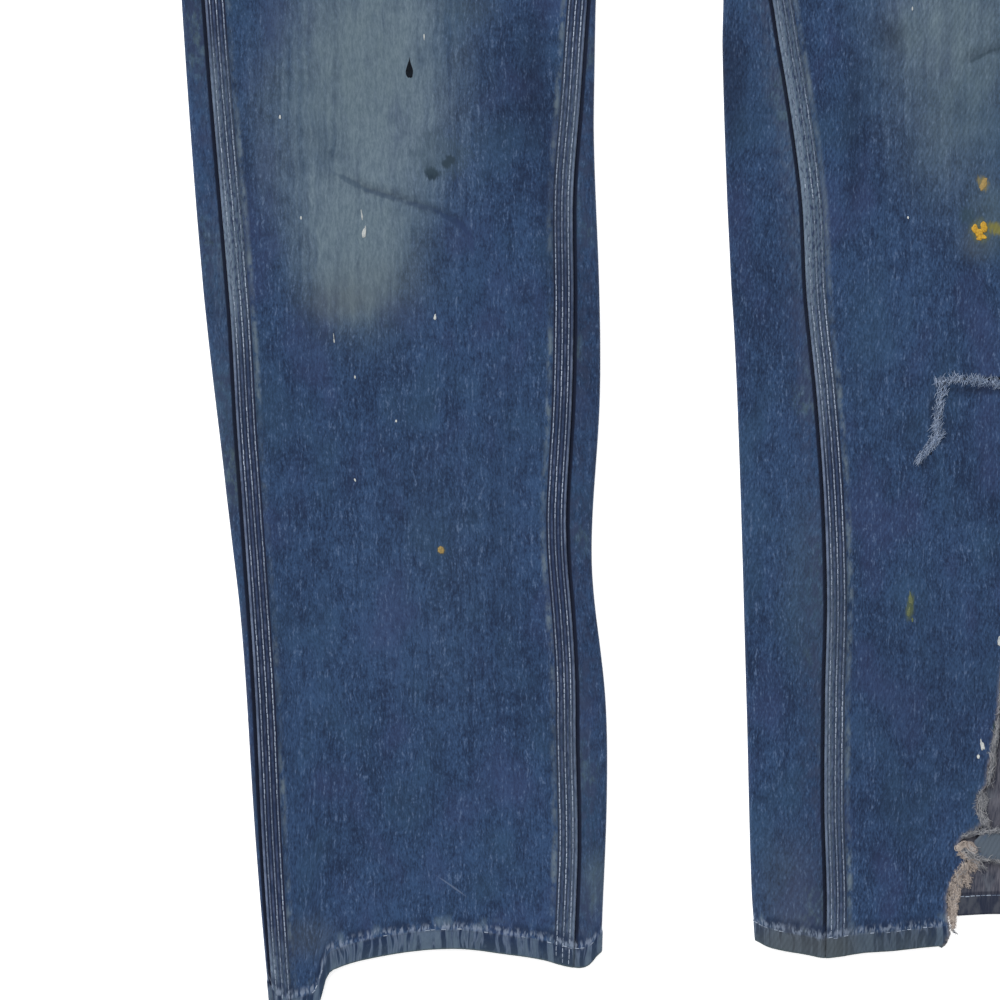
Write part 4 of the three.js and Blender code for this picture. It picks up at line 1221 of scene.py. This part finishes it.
def sewLeg(leg, name):
    sewing = Sewing(name)
    lost = stitching["lost"]
    down = np.arange(1.5, waistband["from"] + 1, 1.5)
    for offset in pattern["stitchRows"]:
        start, end = edgesOf(leg, "front", down)
        sewing.run(*onLeg(leg, "front", start + offset, down), lost=lost["seam"])
        inner = down[down > 14] if leg is leftLeg else down[down < pattern["crotchY"] - 2]
        start, end = edgesOf(leg, "front", inner)
        sewing.run(*onLeg(leg, "front", end - offset, inner), lost=lost["seam"])
    share = np.linspace(0, 1, 140)
    level = np.full(len(share), pattern["hemRow"])
    start, end = edgesOf(leg, "front", level)
    along = start + 1 + (end - start - 2) * share
    path, ups = onLeg(leg, "front", along, level)
    if leg is leftLeg:  # the rip goes through the hem
        whole = ~insideRip(path[:, 0], path[:, 1])
        edge = np.nonzero(~whole)[0]
        low, high = edge[0], edge[-1] + 1
        sewing.run(path[:low], ups[:low], lost=lost["leftHemOuter"], wobble=0.3)
        sewing.run(path[high:], ups[high:], lost=lost["leftHemInner"], wobble=0.3)
    else:
        sewing.run(path, ups, lost=lost["rightHem"], wobble=0.3)
    start, end = edgesOf(leg, "back", level)
    cut = section(leg, level)
    half, quarter = cut.half, cut.quarter
    for low, high in ((start + 1, half + quarter), (2 * half - quarter, end - 1)):
        along = low + (high - low) * share
        sewing.run(*onLeg(leg, "back", along, level), lost=lost["backHem"])
    along = half + quarter + (half - 2 * quarter) * share
    path, ups = onLeg(leg, "back", along, level)
    path[:, 2] += 0.12  # clear of the surface the garment lies on
    sewing.run(path, ups, lost=lost["under"])
    path, ups = path.copy(), -ups
    path[:, 2] = pattern["backPly"] + stitching["sink"]
    sewing.run(path, ups, lost=lost["under"])  # the hem's inside
    sewing.build()


def sewFlat(sewing, x, y, z, lost=0.0):  # a run on a face that looks straight up
    path = np.stack(np.broadcast_arrays(x, y, z), axis=1)
    sewing.run(path, np.tile([0.0, 0, 1], (len(path), 1)), lost=lost)


def sewBody():
    sewing = Sewing("stitches_body")
    lost = stitching["lost"]
    rise = np.arange(waistband["to"] + 2, bib["top"] - 1, 2.0)
    for side in (-1, 1):
        for row in bib["rows"]:
            x = side * (through(bib["half"], rise) - row)
            z = bibFrontPoint(x, rise, np.full(len(x), row), bib["top"] - rise)
            sewFlat(sewing, x, rise, z, lost=lost["seam"])
    x = np.linspace(-122, 122, 120)
    for row in bib["topRows"]:
        y = np.full(120, bib["top"] - row)
        z = bibFrontPoint(x, y, 125 - np.abs(x), np.full(120, row))
        sewFlat(sewing, x, y, z, lost=lost["bibTop"])
    row = waistband["row"]
    low = -waistReach(rightLeg) + waistband["end"] + row
    high = waistReach(leftLeg) - waistband["end"] - row
    x = np.linspace(low, high, 240)
    for y in (waistband["from"] + row, waistband["to"] - row):
        sewFlat(sewing, x, y, waistbandPoint(x, y), lost=lost["seam"])
    y = np.linspace(waistband["from"] + row, waistband["to"] - row, 30)
    for x in (low, high):
        sewFlat(sewing, x, y, waistbandPoint(x, y))
    reach = strap["width"] / 2 - strap["rows"][0]
    for side in (-1, 1):
        route = strapRoutes[side]
        k = np.arange(len(route))
        for across in (-reach, reach):
            for stand in (strap["stitchStand"], -strap["stitchStand"]):
                path = strapPoint(route, k, np.full(len(k), across), np.full(len(k), stand))
                ups = strapPoint(route, k, np.full(len(k), across), np.full(len(k), stand * 2))
                ups = (ups - path) / abs(stand)
                sewing.run(path, ups, lost=lost["strap"])
        for k0 in (2, len(route) - 4):  # bar tacks where the strap is sewn down
            for step in (0, 1, 2):
                k = np.full(12, min(len(route) - 1, k0 + step))
                across = np.linspace(-13, 13, 12)
                out = strap["tackStand"]
                stand = np.full(12, out if k0 == 2 else -out)
                path = strapPoint(route, k, across, stand)
                ups = (strapPoint(route, k, across, stand * 2) - path) / out
                sewing.run(path, ups, pitch=1.4, length=2.2)
    sewing.build()


sewLeg(rightLeg, "stitches_right_leg")
sewLeg(leftLeg, "stitches_left_leg")
sewBody()
print("stitches made")


def topHeight(x, y):  # height of the finished cloth at any place of the front legs
    height = np.zeros(np.shape(x))
    for leg in (rightLeg, leftLeg):
        here = (x * leg["side"]) > 0
        if not here.any():
            continue
        row = np.maximum(y[here], 0)
        for _ in range(2):  # the hem's curve moves the row, so it is found twice
            cut = section(leg, row)
            along = np.abs(cut.outer - x[here]) - pattern["rollRadius"] + cut.quarter
            row = np.maximum(y[here] - (hemmed(leg, along, row, x[here]) - row), 0)
        start, end = edgesOf(leg, "front", row)
        along = np.clip(along, start, end)
        height[here] = legFace(leg, "front", along, row, start, end)[2]
    return height


# Frayed threads: a route in the pattern, the fray's half-width along it, the threads' heading and
# its scatter in degrees, how many, and their shortest and longest length. A knot has no heading:
# its threads curl round the route's points, as far out as the half-widths.
frays = {
    "fray_slash": ("fray", [
        ([(197, 383), (192.6, 371), (191.8, 357), (190.4, 347), (184, 339), (178, 332)],
         (3.8, 3.6, 3.4, 3.4, 2.4, 1.2), 63, 14, 330, (4, 10)),
        ([(190, 386), (205, 388.5), (222, 386.8), (236, 386), (250, 388)],
         (2.4, 3.0, 3.2, 3.4, 3.0), 78, 26, 330, (3.5, 8.5)),
        ([(188, 344), (193, 348), (196, 352)], (0.8, 1.4, 0.8), 46, 12, 44, (6, 10)),
    ]),
    "fray_hem": ("dustyFray", [
        ([(202.6, 15), (202.4, 24), (203.0, 35), (205, 45), (209, 53), (213, 58)],
         (1.0, 2.6, 3.6, 4.2, 4.4, 3.6), 92, 30, 780, (2.5, 8)),
        ([(203.0, 17), (203.4, 35), (208, 51)], (1.2, 2.8, 3.8), 20, 50, 250, (2, 5)),
        ([(206, 69), (211, 73)], (2.6, 2.6), None, 0, 70, (4, 10)),
        ([(213, 72), (217, 68)], (2.8, 3.0), None, 0, 80, (4, 10)),
        ([(207, 66), (212, 63)], (1.6, 2.0), -30, 24, 60, (3, 7)),
        ([(213, 60), (219, 56)], (3.0, 3.4), -60, 36, 80, (3, 8)),
        ([(214, 50), (212, 42)], (2.0, 1.4), -70, 30, 40, (3, 6)),
    ]),
    "fray_strands": ("paleFray", [
        ([(210, 64), (218, 70)], (2.0, 2.0), -48, 16, 46, (8, 15)),
        ([(216, 62), (223, 56)], (1.4, 1.4), -36, 10, 26, (10, 18)),
        ([(203, 30), (206, 48), (212, 58)], (2.2, 3.0, 3.0), 70, 50, 90, (2, 6)),
        ([(200, 16), (205, 11)], (0.8, 0.8), -36, 14, 16, (3, 6)),
    ]),
    "fray_rip": ("paleFray", [
        ([(209, 77), (216, 79.5), (225, 81), (238, 81.5)], (1.2, 1.6, 1.6, 1.4), 12, 34, 150,
         (3, 8)),
        ([(219, 62.5), (232, 60.5), (250, 57)], (1.0, 1.3, 1.2), -8, 20, 100, (4, 9)),
        ([(252, 56), (255, 36), (258, 8)], (1.6, 2.4, 1.8), 94, 30, 170, (4, 9)),
    ]),
    "fray_upper": ("paleFray", [
        ([(226, 84), (223, 91), (221.5, 99), (223, 108)], (2.0, 3.2, 3.8, 2.6), 96, 30, 180,
         (4, 9)),
        ([(223.5, 99), (222.5, 104)], (3.6, 3.6), None, 0, 60, (4, 10)),
        ([(227, 113), (229.5, 128), (231.5, 143), (233, 156)], (1.4, 1.8, 1.7, 1.1), 84, 13, 200,
         (5, 11)),
        ([(233, 156), (235, 176), (237, 198)], (0.6, 0.8, 0.6), 85, 12, 50, (4, 8)),
        ([(240.5, 178), (242.5, 150), (243.5, 118), (243, 98), (241, 87)],
         (1.4, 1.8, 2.2, 2.2, 1.6), 88, 20, 200, (4, 10)),
    ]),
}
threads = {"points": 7, "seed": 70, "thin": 0.11, "thick": 0.19, "sag": 2.6, "stand": 0.8,
           "arch": 0.4}


def lie(x, y):  # where a loose thread rests: on the cloth, or sagging into the hole
    away, _ = towards(hemRip[1:-1], x, y)
    drop = np.where(insideRip(x, y), np.minimum(threads["sag"], away * 0.55), 0)
    return topHeight(x, y) - drop


def strand(random, route, at, widths, heading, scatter, length):  # one thread's plan
    spot = random.uniform(0, at[-1])
    reach = np.interp(spot, at, widths)
    count = threads["points"]
    k = min(len(at) - 2, int(np.searchsorted(at, spot, side="right") - 1))
    way = (route[k + 1] - route[k]) / (at[k + 1] - at[k])
    middle = route[k] + way * (spot - at[k])
    if heading is None:
        radius = reach * math.sqrt(random.uniform(0.06, 1))
        angles = random.uniform(0, 2 * math.pi) + length / radius * np.linspace(0, 1, count)
        wander = radius * (1 + np.cumsum(random.normal(0, 0.06, count)))
        return middle[0] + wander * np.cos(angles), middle[1] + 0.85 * wander * np.sin(angles)
    middle = middle + np.array([-way[1], way[0]]) * reach * np.clip(random.normal(0, 0.55), -1, 1)
    angle = math.radians(heading + random.normal(0, scatter)) + math.pi * random.randint(2)
    turns = angle + random.normal(0, 0.7) * np.linspace(-0.5, 0.5, count)
    turns = turns + np.cumsum(random.normal(0, 0.16, count))
    x = np.cumsum(np.cos(turns)) * length / count
    y = np.cumsum(np.sin(turns)) * length / count
    return middle[0] + x - x.mean(), middle[1] + y - y.mean()


def layThreads(name, finish, zones, seed):
    random = np.random.RandomState(seed)
    plans = []
    for route, widths, heading, scatter, count, (short, longest) in zones:
        route = np.array(route, float)
        at = distancesAlong(route)
        for _ in range(count):
            length = random.uniform(short, longest)
            plans.append(strand(random, route, at, widths, heading, scatter, length))
    xs, ys = np.array([plan[0] for plan in plans]), np.array([plan[1] for plan in plans])
    zs = lie(xs.ravel(), ys.ravel()).reshape(xs.shape)
    rise = np.sin(math.pi * np.linspace(0, 1, threads["points"]))
    zs += 0.1 + random.uniform(0, threads["stand"], (len(xs), 1)) + threads["arch"] * rise[None, :]
    # painted light: a thread is lighter the higher it stands off the cloth, darker where it lies
    # low
    tones = np.clip((zs.mean(1) - lie(xs.mean(1), ys.mean(1))) * 0.7
                    + random.normal(0, 0.25, len(xs)), 0, 1)
    radii = random.uniform(threads["thin"], threads["thick"], len(xs))
    threadsMesh(name, finish, xs, ys, zs, radii, tones)


def threadsMesh(name, finish, xs, ys, zs, radii, tones):  # loose threads as one mesh of tubes
    curve = bpy.data.curves.new(name, "CURVE")
    curve.dimensions = "3D"
    curve.bevel_depth = 0.001
    curve.bevel_resolution = 0
    curve.use_fill_caps = True
    taper = 1 - 0.55 * np.abs(np.linspace(-1, 1, xs.shape[1])) ** 3
    for x, y, z, radius in zip(xs, ys, zs, radii):
        spline = curve.splines.new("POLY")
        spline.points.add(len(x) - 1)
        spots = np.column_stack([place(x, y, z), np.ones(len(x))])
        spline.points.foreach_set("co", spots.ravel())
        spline.points.foreach_set("radius", radius * taper)
    holder = newObject(name, curve)
    graph = bpy.context.evaluated_depsgraph_get()
    mesh = bpy.data.meshes.new_from_object(holder.evaluated_get(graph))
    mesh.name = name
    bpy.data.objects.remove(holder)
    bpy.data.curves.remove(curve)
    giveTones(mesh, tones)
    addPiece(mesh, [finishes[finish]])


for k, (name, (finish, zones)) in enumerate(frays.items()):
    layThreads(name, finish, zones, threads["seed"] + k)
print("fray made")


# Dried paint: place, half-sizes, turn in degrees, how pointed at the top, and thickness.
paint = {
    "paint_black": ("black", [
        (-167, 599.8, 3.2, 7.0, 0, 1.0, 0.25), (96, 905, 1.6, 3.2, 10, 0.5, 0.25),
        (-60, 1330, 1.8, 2.6, 0, 0.3, 0.25)]),
    "paint_cream": ("cream", [
        (-197.6, 488.5, 1.8, 4.4, -8, 0.9, 0.45), (-199.4, 500, 0.6, 4.0, 8, 0.6, 0.25),
        (-255, 566.4, 0.6, 1.8, 0, 0.3, 0.25), (-240.7, 497.8, 0.5, 1.6, 0, 0, 0.25),
        (-218.3, 415.5, 0.5, 2.6, 4, 0.4, 0.2), (-149.6, 430.4, 0.9, 2.2, -10, 0.3, 0.3),
        (-204, 389.6, 0.5, 1.3, 0, 0, 0.2), (-204, 319.6, 0.6, 1.2, 20, 0, 0.2),
        (-176, 359.7, 0.6, 1.0, 0, 0, 0.2), (65.3, 153, 1.6, 1.9, 0, 0.2, 0.35),
        (66.6, 106.8, 0.8, 2.6, 0, 0.4, 0.3), (234.2, 210, 1.5, 3.4, 0, 0.3, 0.35),
        (222.4, 139.4, 1.5, 3.8, 15, 0.4, 0.4), (219.8, 131.5, 1.0, 1.5, 0, 0, 0.3),
        (175, 640, 0.5, 1.4, 0, 0, 0.2), (-157, 621, 0.5, 2.2, 0, 0.3, 0.2),
        (172, 498, 0.6, 1.1, 0, 0, 0.2)]),
    "paint_ochre": ("ochre", [
        (-145.5, 272, 2.3, 2.6, 20, 0, 0.5), (223.4, 520.9, 2.4, 4.6, -30, 0.4, 0.4)]),
    "paint_yellow": ("yellow", [
        (219.4, 488.2, 3.4, 4.4, 25, 0.2, 0.6), (223.6, 491.6, 2.6, 3.4, -20, 0, 0.7),
        (221.8, 484.6, 3.0, 2.2, 0, 0, 0.5), (217.6, 491.6, 1.6, 2.0, 0, 0, 0.4)]),
    "paint_olive": ("olive", [
        (173.8, 239, 1.6, 4.2, 10, 0.5, 0.3), (172.6, 230, 1.3, 3.4, -12, 0.4, 0.25),
        (175, 224.5, 0.7, 1.6, 0, 0, 0.2)]),
}
spatter = {
    "seed": 29,
    "thighs": 26,
    "thighX": (40, 275),
    "thighY": (660, 1060),
    "bib": 16,
    "bibX": (-105, 105),
    "bibY": (1160, 1370),
    "small": 0.45,
    "large": 1.9,
    "dropSeed": 90,
}


def surfaceAt(x, y):  # cloth height under a paint spot, on the legs or the front bib
    height = topHeight(x, np.minimum(y, pattern["waistY"]))
    half = through(bib["half"], y)
    onBib = bibFrontPoint(x, y, np.maximum(half - np.abs(x), 0), np.maximum(bib["top"] - y, 0))
    return np.where(y > bib["foot"], onBib, height)


def splash(name, finish, spots, seed):  # drops of one paint, domed on top and lobed at the rim
    random = np.random.RandomState(seed)
    unit, faces = ball(20, 10)
    angle = np.arctan2(unit[:, 1], unit[:, 0])
    xs, ys, lifts = [], [], []
    for x, y, wide, tall, turn, point, thick in spots:
        rim = 1.0
        for lobe in (2, 3, 5, 7):
            deep = random.normal(0, 0.32 / lobe)
            rim = rim + deep * np.cos(lobe * angle + random.uniform(0, 6.3))
        up = unit[:, 1]
        px = unit[:, 0] * rim * wide * (1 - point * 0.85 * smooth(-0.7, 1.0, up))
        py = up * rim * tall
        turn = math.radians(turn)
        xs.append(x + px * math.cos(turn) - py * math.sin(turn))
        ys.append(y + px * math.sin(turn) + py * math.cos(turn))
        crust = 1 + 0.5 * blotch(px / 0.9, py / 0.9, seed)
        dome = np.maximum(unit[:, 2], 0) ** 0.6
        lifts.append(np.where(unit[:, 2] > 0, thick * crust * dome, -0.12))
    x, y = np.concatenate(xs), np.concatenate(ys)
    z = surfaceAt(x, y) + np.concatenate(lifts)
    mesh = joined(name, place(x, y, z), faces, random.uniform(0, 1, len(spots)))
    addPiece(mesh, [finishes[finish]])


def scatterPaint():  # small flecks above the knees and on the bib, shared out among the colours
    random = np.random.RandomState(spatter["seed"])
    places = []
    for _ in range(spatter["thighs"]):
        side = random.choice([-1, 1])
        places.append((side * random.uniform(*spatter["thighX"]),
                       random.uniform(*spatter["thighY"])))
    for _ in range(spatter["bib"]):
        places.append((random.uniform(*spatter["bibX"]), random.uniform(*spatter["bibY"])))
    for x, y in places:
        size = random.uniform(spatter["small"], spatter["large"])
        colour = random.choice(["paint_cream", "paint_cream", "paint_yellow", "paint_ochre",
                                "paint_black", "paint_olive"])
        paint[colour][1].append((x, y, size, size * random.uniform(1, 2.2),
                                 random.uniform(-25, 25), random.uniform(0, 0.7), 0.3))


scatterPaint()
for k, (name, (finish, spots)) in enumerate(paint.items()):
    splash(name, finish, spots, spatter["dropSeed"] + k)
print("paint made")


hardware = {
    "bevel": 0.45,
    "buttonTurns": 40,
    "headDeep": 2.4,
    "shankRadius": 2.2,
    "footShare": 0.58,  # of the head's radius
    "footThick": 0.8,
    "head": [(0.9, 2.4), (1, 1.8), (1, 1.2), (0.95, 0.4), (0.86, 0.02), (0.78, 0), (0.7, 0.3),
             (0.62, 0.6), (0.3, 0.45), (0, 0.4)],  # share of the radius, and how far down
}


def metalPiece(name, bm):
    mesh = meshOf(bm, "metal_" + name)
    mesh.shade_smooth()
    piece = addPiece(mesh, [finishes["brass"]])
    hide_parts(name)


def finerPlate(name):  # a buckle or slider with its edges rounded over
    bm = bmesh.new()
    bm.from_mesh(bpy.data.objects[name].data)
    bmesh.ops.remove_doubles(bm, verts=bm.verts, dist=0.00001)
    bmesh.ops.dissolve_limit(bm, angle_limit=math.radians(1), verts=bm.verts, edges=bm.edges)
    sharp = [e for e in bm.edges if e.calc_face_angle(0) > math.radians(50)]
    bmesh.ops.bevel(bm, geom=sharp, offset=hardware["bevel"] / 1000, offset_type="OFFSET",
                    affect="EDGES", segments=3, profile=0.5, material=-1, clamp_overlap=True)
    bmesh.ops.triangulate(bm, faces=bm.faces)
    metalPiece(name, bm)


def finerButton(name):  # a turned stud with a rolled rim and a dished middle
    low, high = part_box(name)
    centreX, centreY = (low.x + high.x) / 2, (low.y + high.y) / 2
    radius, foot, top = (high.x - low.x) / 2, low.z, high.z
    head = top - hardware["headDeep"] / 1000
    profile = [(0, head)]
    if head - foot > 0.001:  # a stud on a foot and a shank
        shank, wide = hardware["shankRadius"] / 1000, radius * hardware["footShare"]
        step = foot + hardware["footThick"] / 1000
        profile = [(0, foot), (wide, foot), (wide, step), (shank, step), (shank, head)]
    profile += [(radius * share, top - down / 1000) for share, down in hardware["head"]]
    bm = bmesh.new()
    verts = [bm.verts.new((centreX + r, centreY, z)) for r, z in profile]
    edges = [bm.edges.new(pair) for pair in zip(verts[:-1], verts[1:])]
    bmesh.ops.spin(bm, geom=verts + edges, cent=(centreX, centreY, 0), axis=(0, 0, 1),
                   angle=2 * math.pi, steps=hardware["buttonTurns"], use_merge=True)
    bmesh.ops.remove_doubles(bm, verts=bm.verts, dist=0.000002)
    bmesh.ops.recalc_face_normals(bm, faces=bm.faces)
    metalPiece(name, bm)


for name in ("right", "left"):
    finerPlate("strap_buckle_" + name)
    finerPlate("strap_slider_" + name)
    for kind in ("bib", "waist", "hip"):
        finerButton(kind + "_button_" + name)
print("hardware made")


def areaOf(widths, rows):  # flat area and longest width of a cut panel, in metres
    middle = (widths[1:] + widths[:-1]) / 2
    return float((middle * np.diff(rows)).sum()) / 1e6, float(widths.max()) / 1000


def ripArea():  # cloth lost from the hem, in square metres
    x, y = np.array(hemRip, float).T
    return abs(float((x * np.roll(y, -1) - np.roll(x, -1) * y).sum())) / 2e6


def declareCuts():
    cuts = {}  # by node: flat size, flat area and what it lies on
    for name, leg, side, under in [
            ("right_leg_front", rightLeg, "front", "right_leg_back"),
            ("left_leg_front", leftLeg, "front", "left_leg_back"),
            ("right_leg_back", rightLeg, "back", "floor"),
            ("left_leg_back", leftLeg, "back", "floor")]:
        rows = np.linspace(0, pattern["waistY"], 200)
        start, end = edgesOf(leg, side, rows)
        area, wide = areaOf(end - start, rows)
        if name == "left_leg_front":
            area -= ripArea()
        cuts[name] = ((wide, pattern["waistY"] / 1000), area, [under])
    for name, table, top, under in [
            ("bib_front", bib["half"], bib["top"], "bib_back"),
            ("bib_back", bib["backHalf"], bib["backTop"], "floor")]:
        rows = np.linspace(bib["foot"], top, 100)
        area, wide = areaOf(2 * through(table, rows), rows)
        cuts[name] = ((wide, (top - bib["foot"]) / 1000), area, [under])
    low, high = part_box("waistband")
    wide, tall = high.x - low.x, high.y - low.y
    cuts["waistband"] = ((wide, tall), wide * tall,
                         ["right_leg_front", "left_leg_front", "bib_front"])
    for side, name in ((-1, "strap_right"), (1, "strap_left")):
        run = float(distancesAlong(strapRoutes[side][:, :3])[-1]) / 1000
        wide = strap["width"] / 1000
        cuts[name] = ((wide, run), wide * run, ["bib_front", "bib_back"])
    for name, (flat, area, under) in cuts.items():
        min(area, flat[0] * flat[1])
        print(name, "cut", [round(v, 3) for v in flat], round(area, 4))


declareCuts()


stage = {
    "floor": 6.0,
    "floorBelow": 0.0006,
    "floorTone": (0.93, 0.93, 0.93, 1),
    "floorGlow": 0.55,
    "worldStrength": 0.72,
    "keyStrength": 2.2,
    "keyAngle": 0.9,
    "keyTurn": (-38, -30, 0),
    "viewSpan": 0.68,
    "cameraHeight": 3.2,
    "aimHeight": 0.004,
    "viewMiddle": (-105.4, 306.0),
}


def makeFloor():
    bm = bmesh.new()
    bmesh.ops.create_grid(bm, x_segments=1, y_segments=1, size=stage["floor"])
    bmesh.ops.translate(bm, verts=bm.verts, vec=(0, 0, -stage["floorBelow"]))
    mesh = meshOf(bm, "floor")
    finish = Finish("floorPaper", Roughness=1.0, Specular_IOR_Level=0.0,
                    Base_Color=stage["floorTone"], Emission_Color=(1, 1, 1, 1),
                    Emission_Strength=stage["floorGlow"])
    mesh.materials.append(finish.material)
    newObject("floor", mesh)


makeFloor()
world = bpy.data.worlds.new("studio")
bpy.context.scene.world = world
world.use_nodes = True
sky = world.node_tree.nodes["Background"]
sky.inputs["Color"].default_value = (1, 1, 1, 1)
sky.inputs["Strength"].default_value = stage["worldStrength"]
key = bpy.data.lights.new("key", "SUN")
key.energy = stage["keyStrength"]
key.angle = stage["keyAngle"]
keyObject = newObject("key", key)
keyObject.rotation_euler = [math.radians(turn) for turn in stage["keyTurn"]]

middleX, middleY = stage["viewMiddle"]
aim = Vector(((middleX + shiftX) / 1000, (middleY + shiftY) / 1000, stage["aimHeight"]))
camera = bpy.data.cameras.new("camera")
camera.lens = camera.sensor_width * stage["cameraHeight"] / stage["viewSpan"]
camera.clip_end = 50
cameraObject = newObject("camera", camera)
cameraObject.location = aim + Vector((0, 0, stage["cameraHeight"]))
bpy.context.scene.camera = cameraObject
bpy.context.scene.view_settings.view_transform = "Standard"
print("stage made")
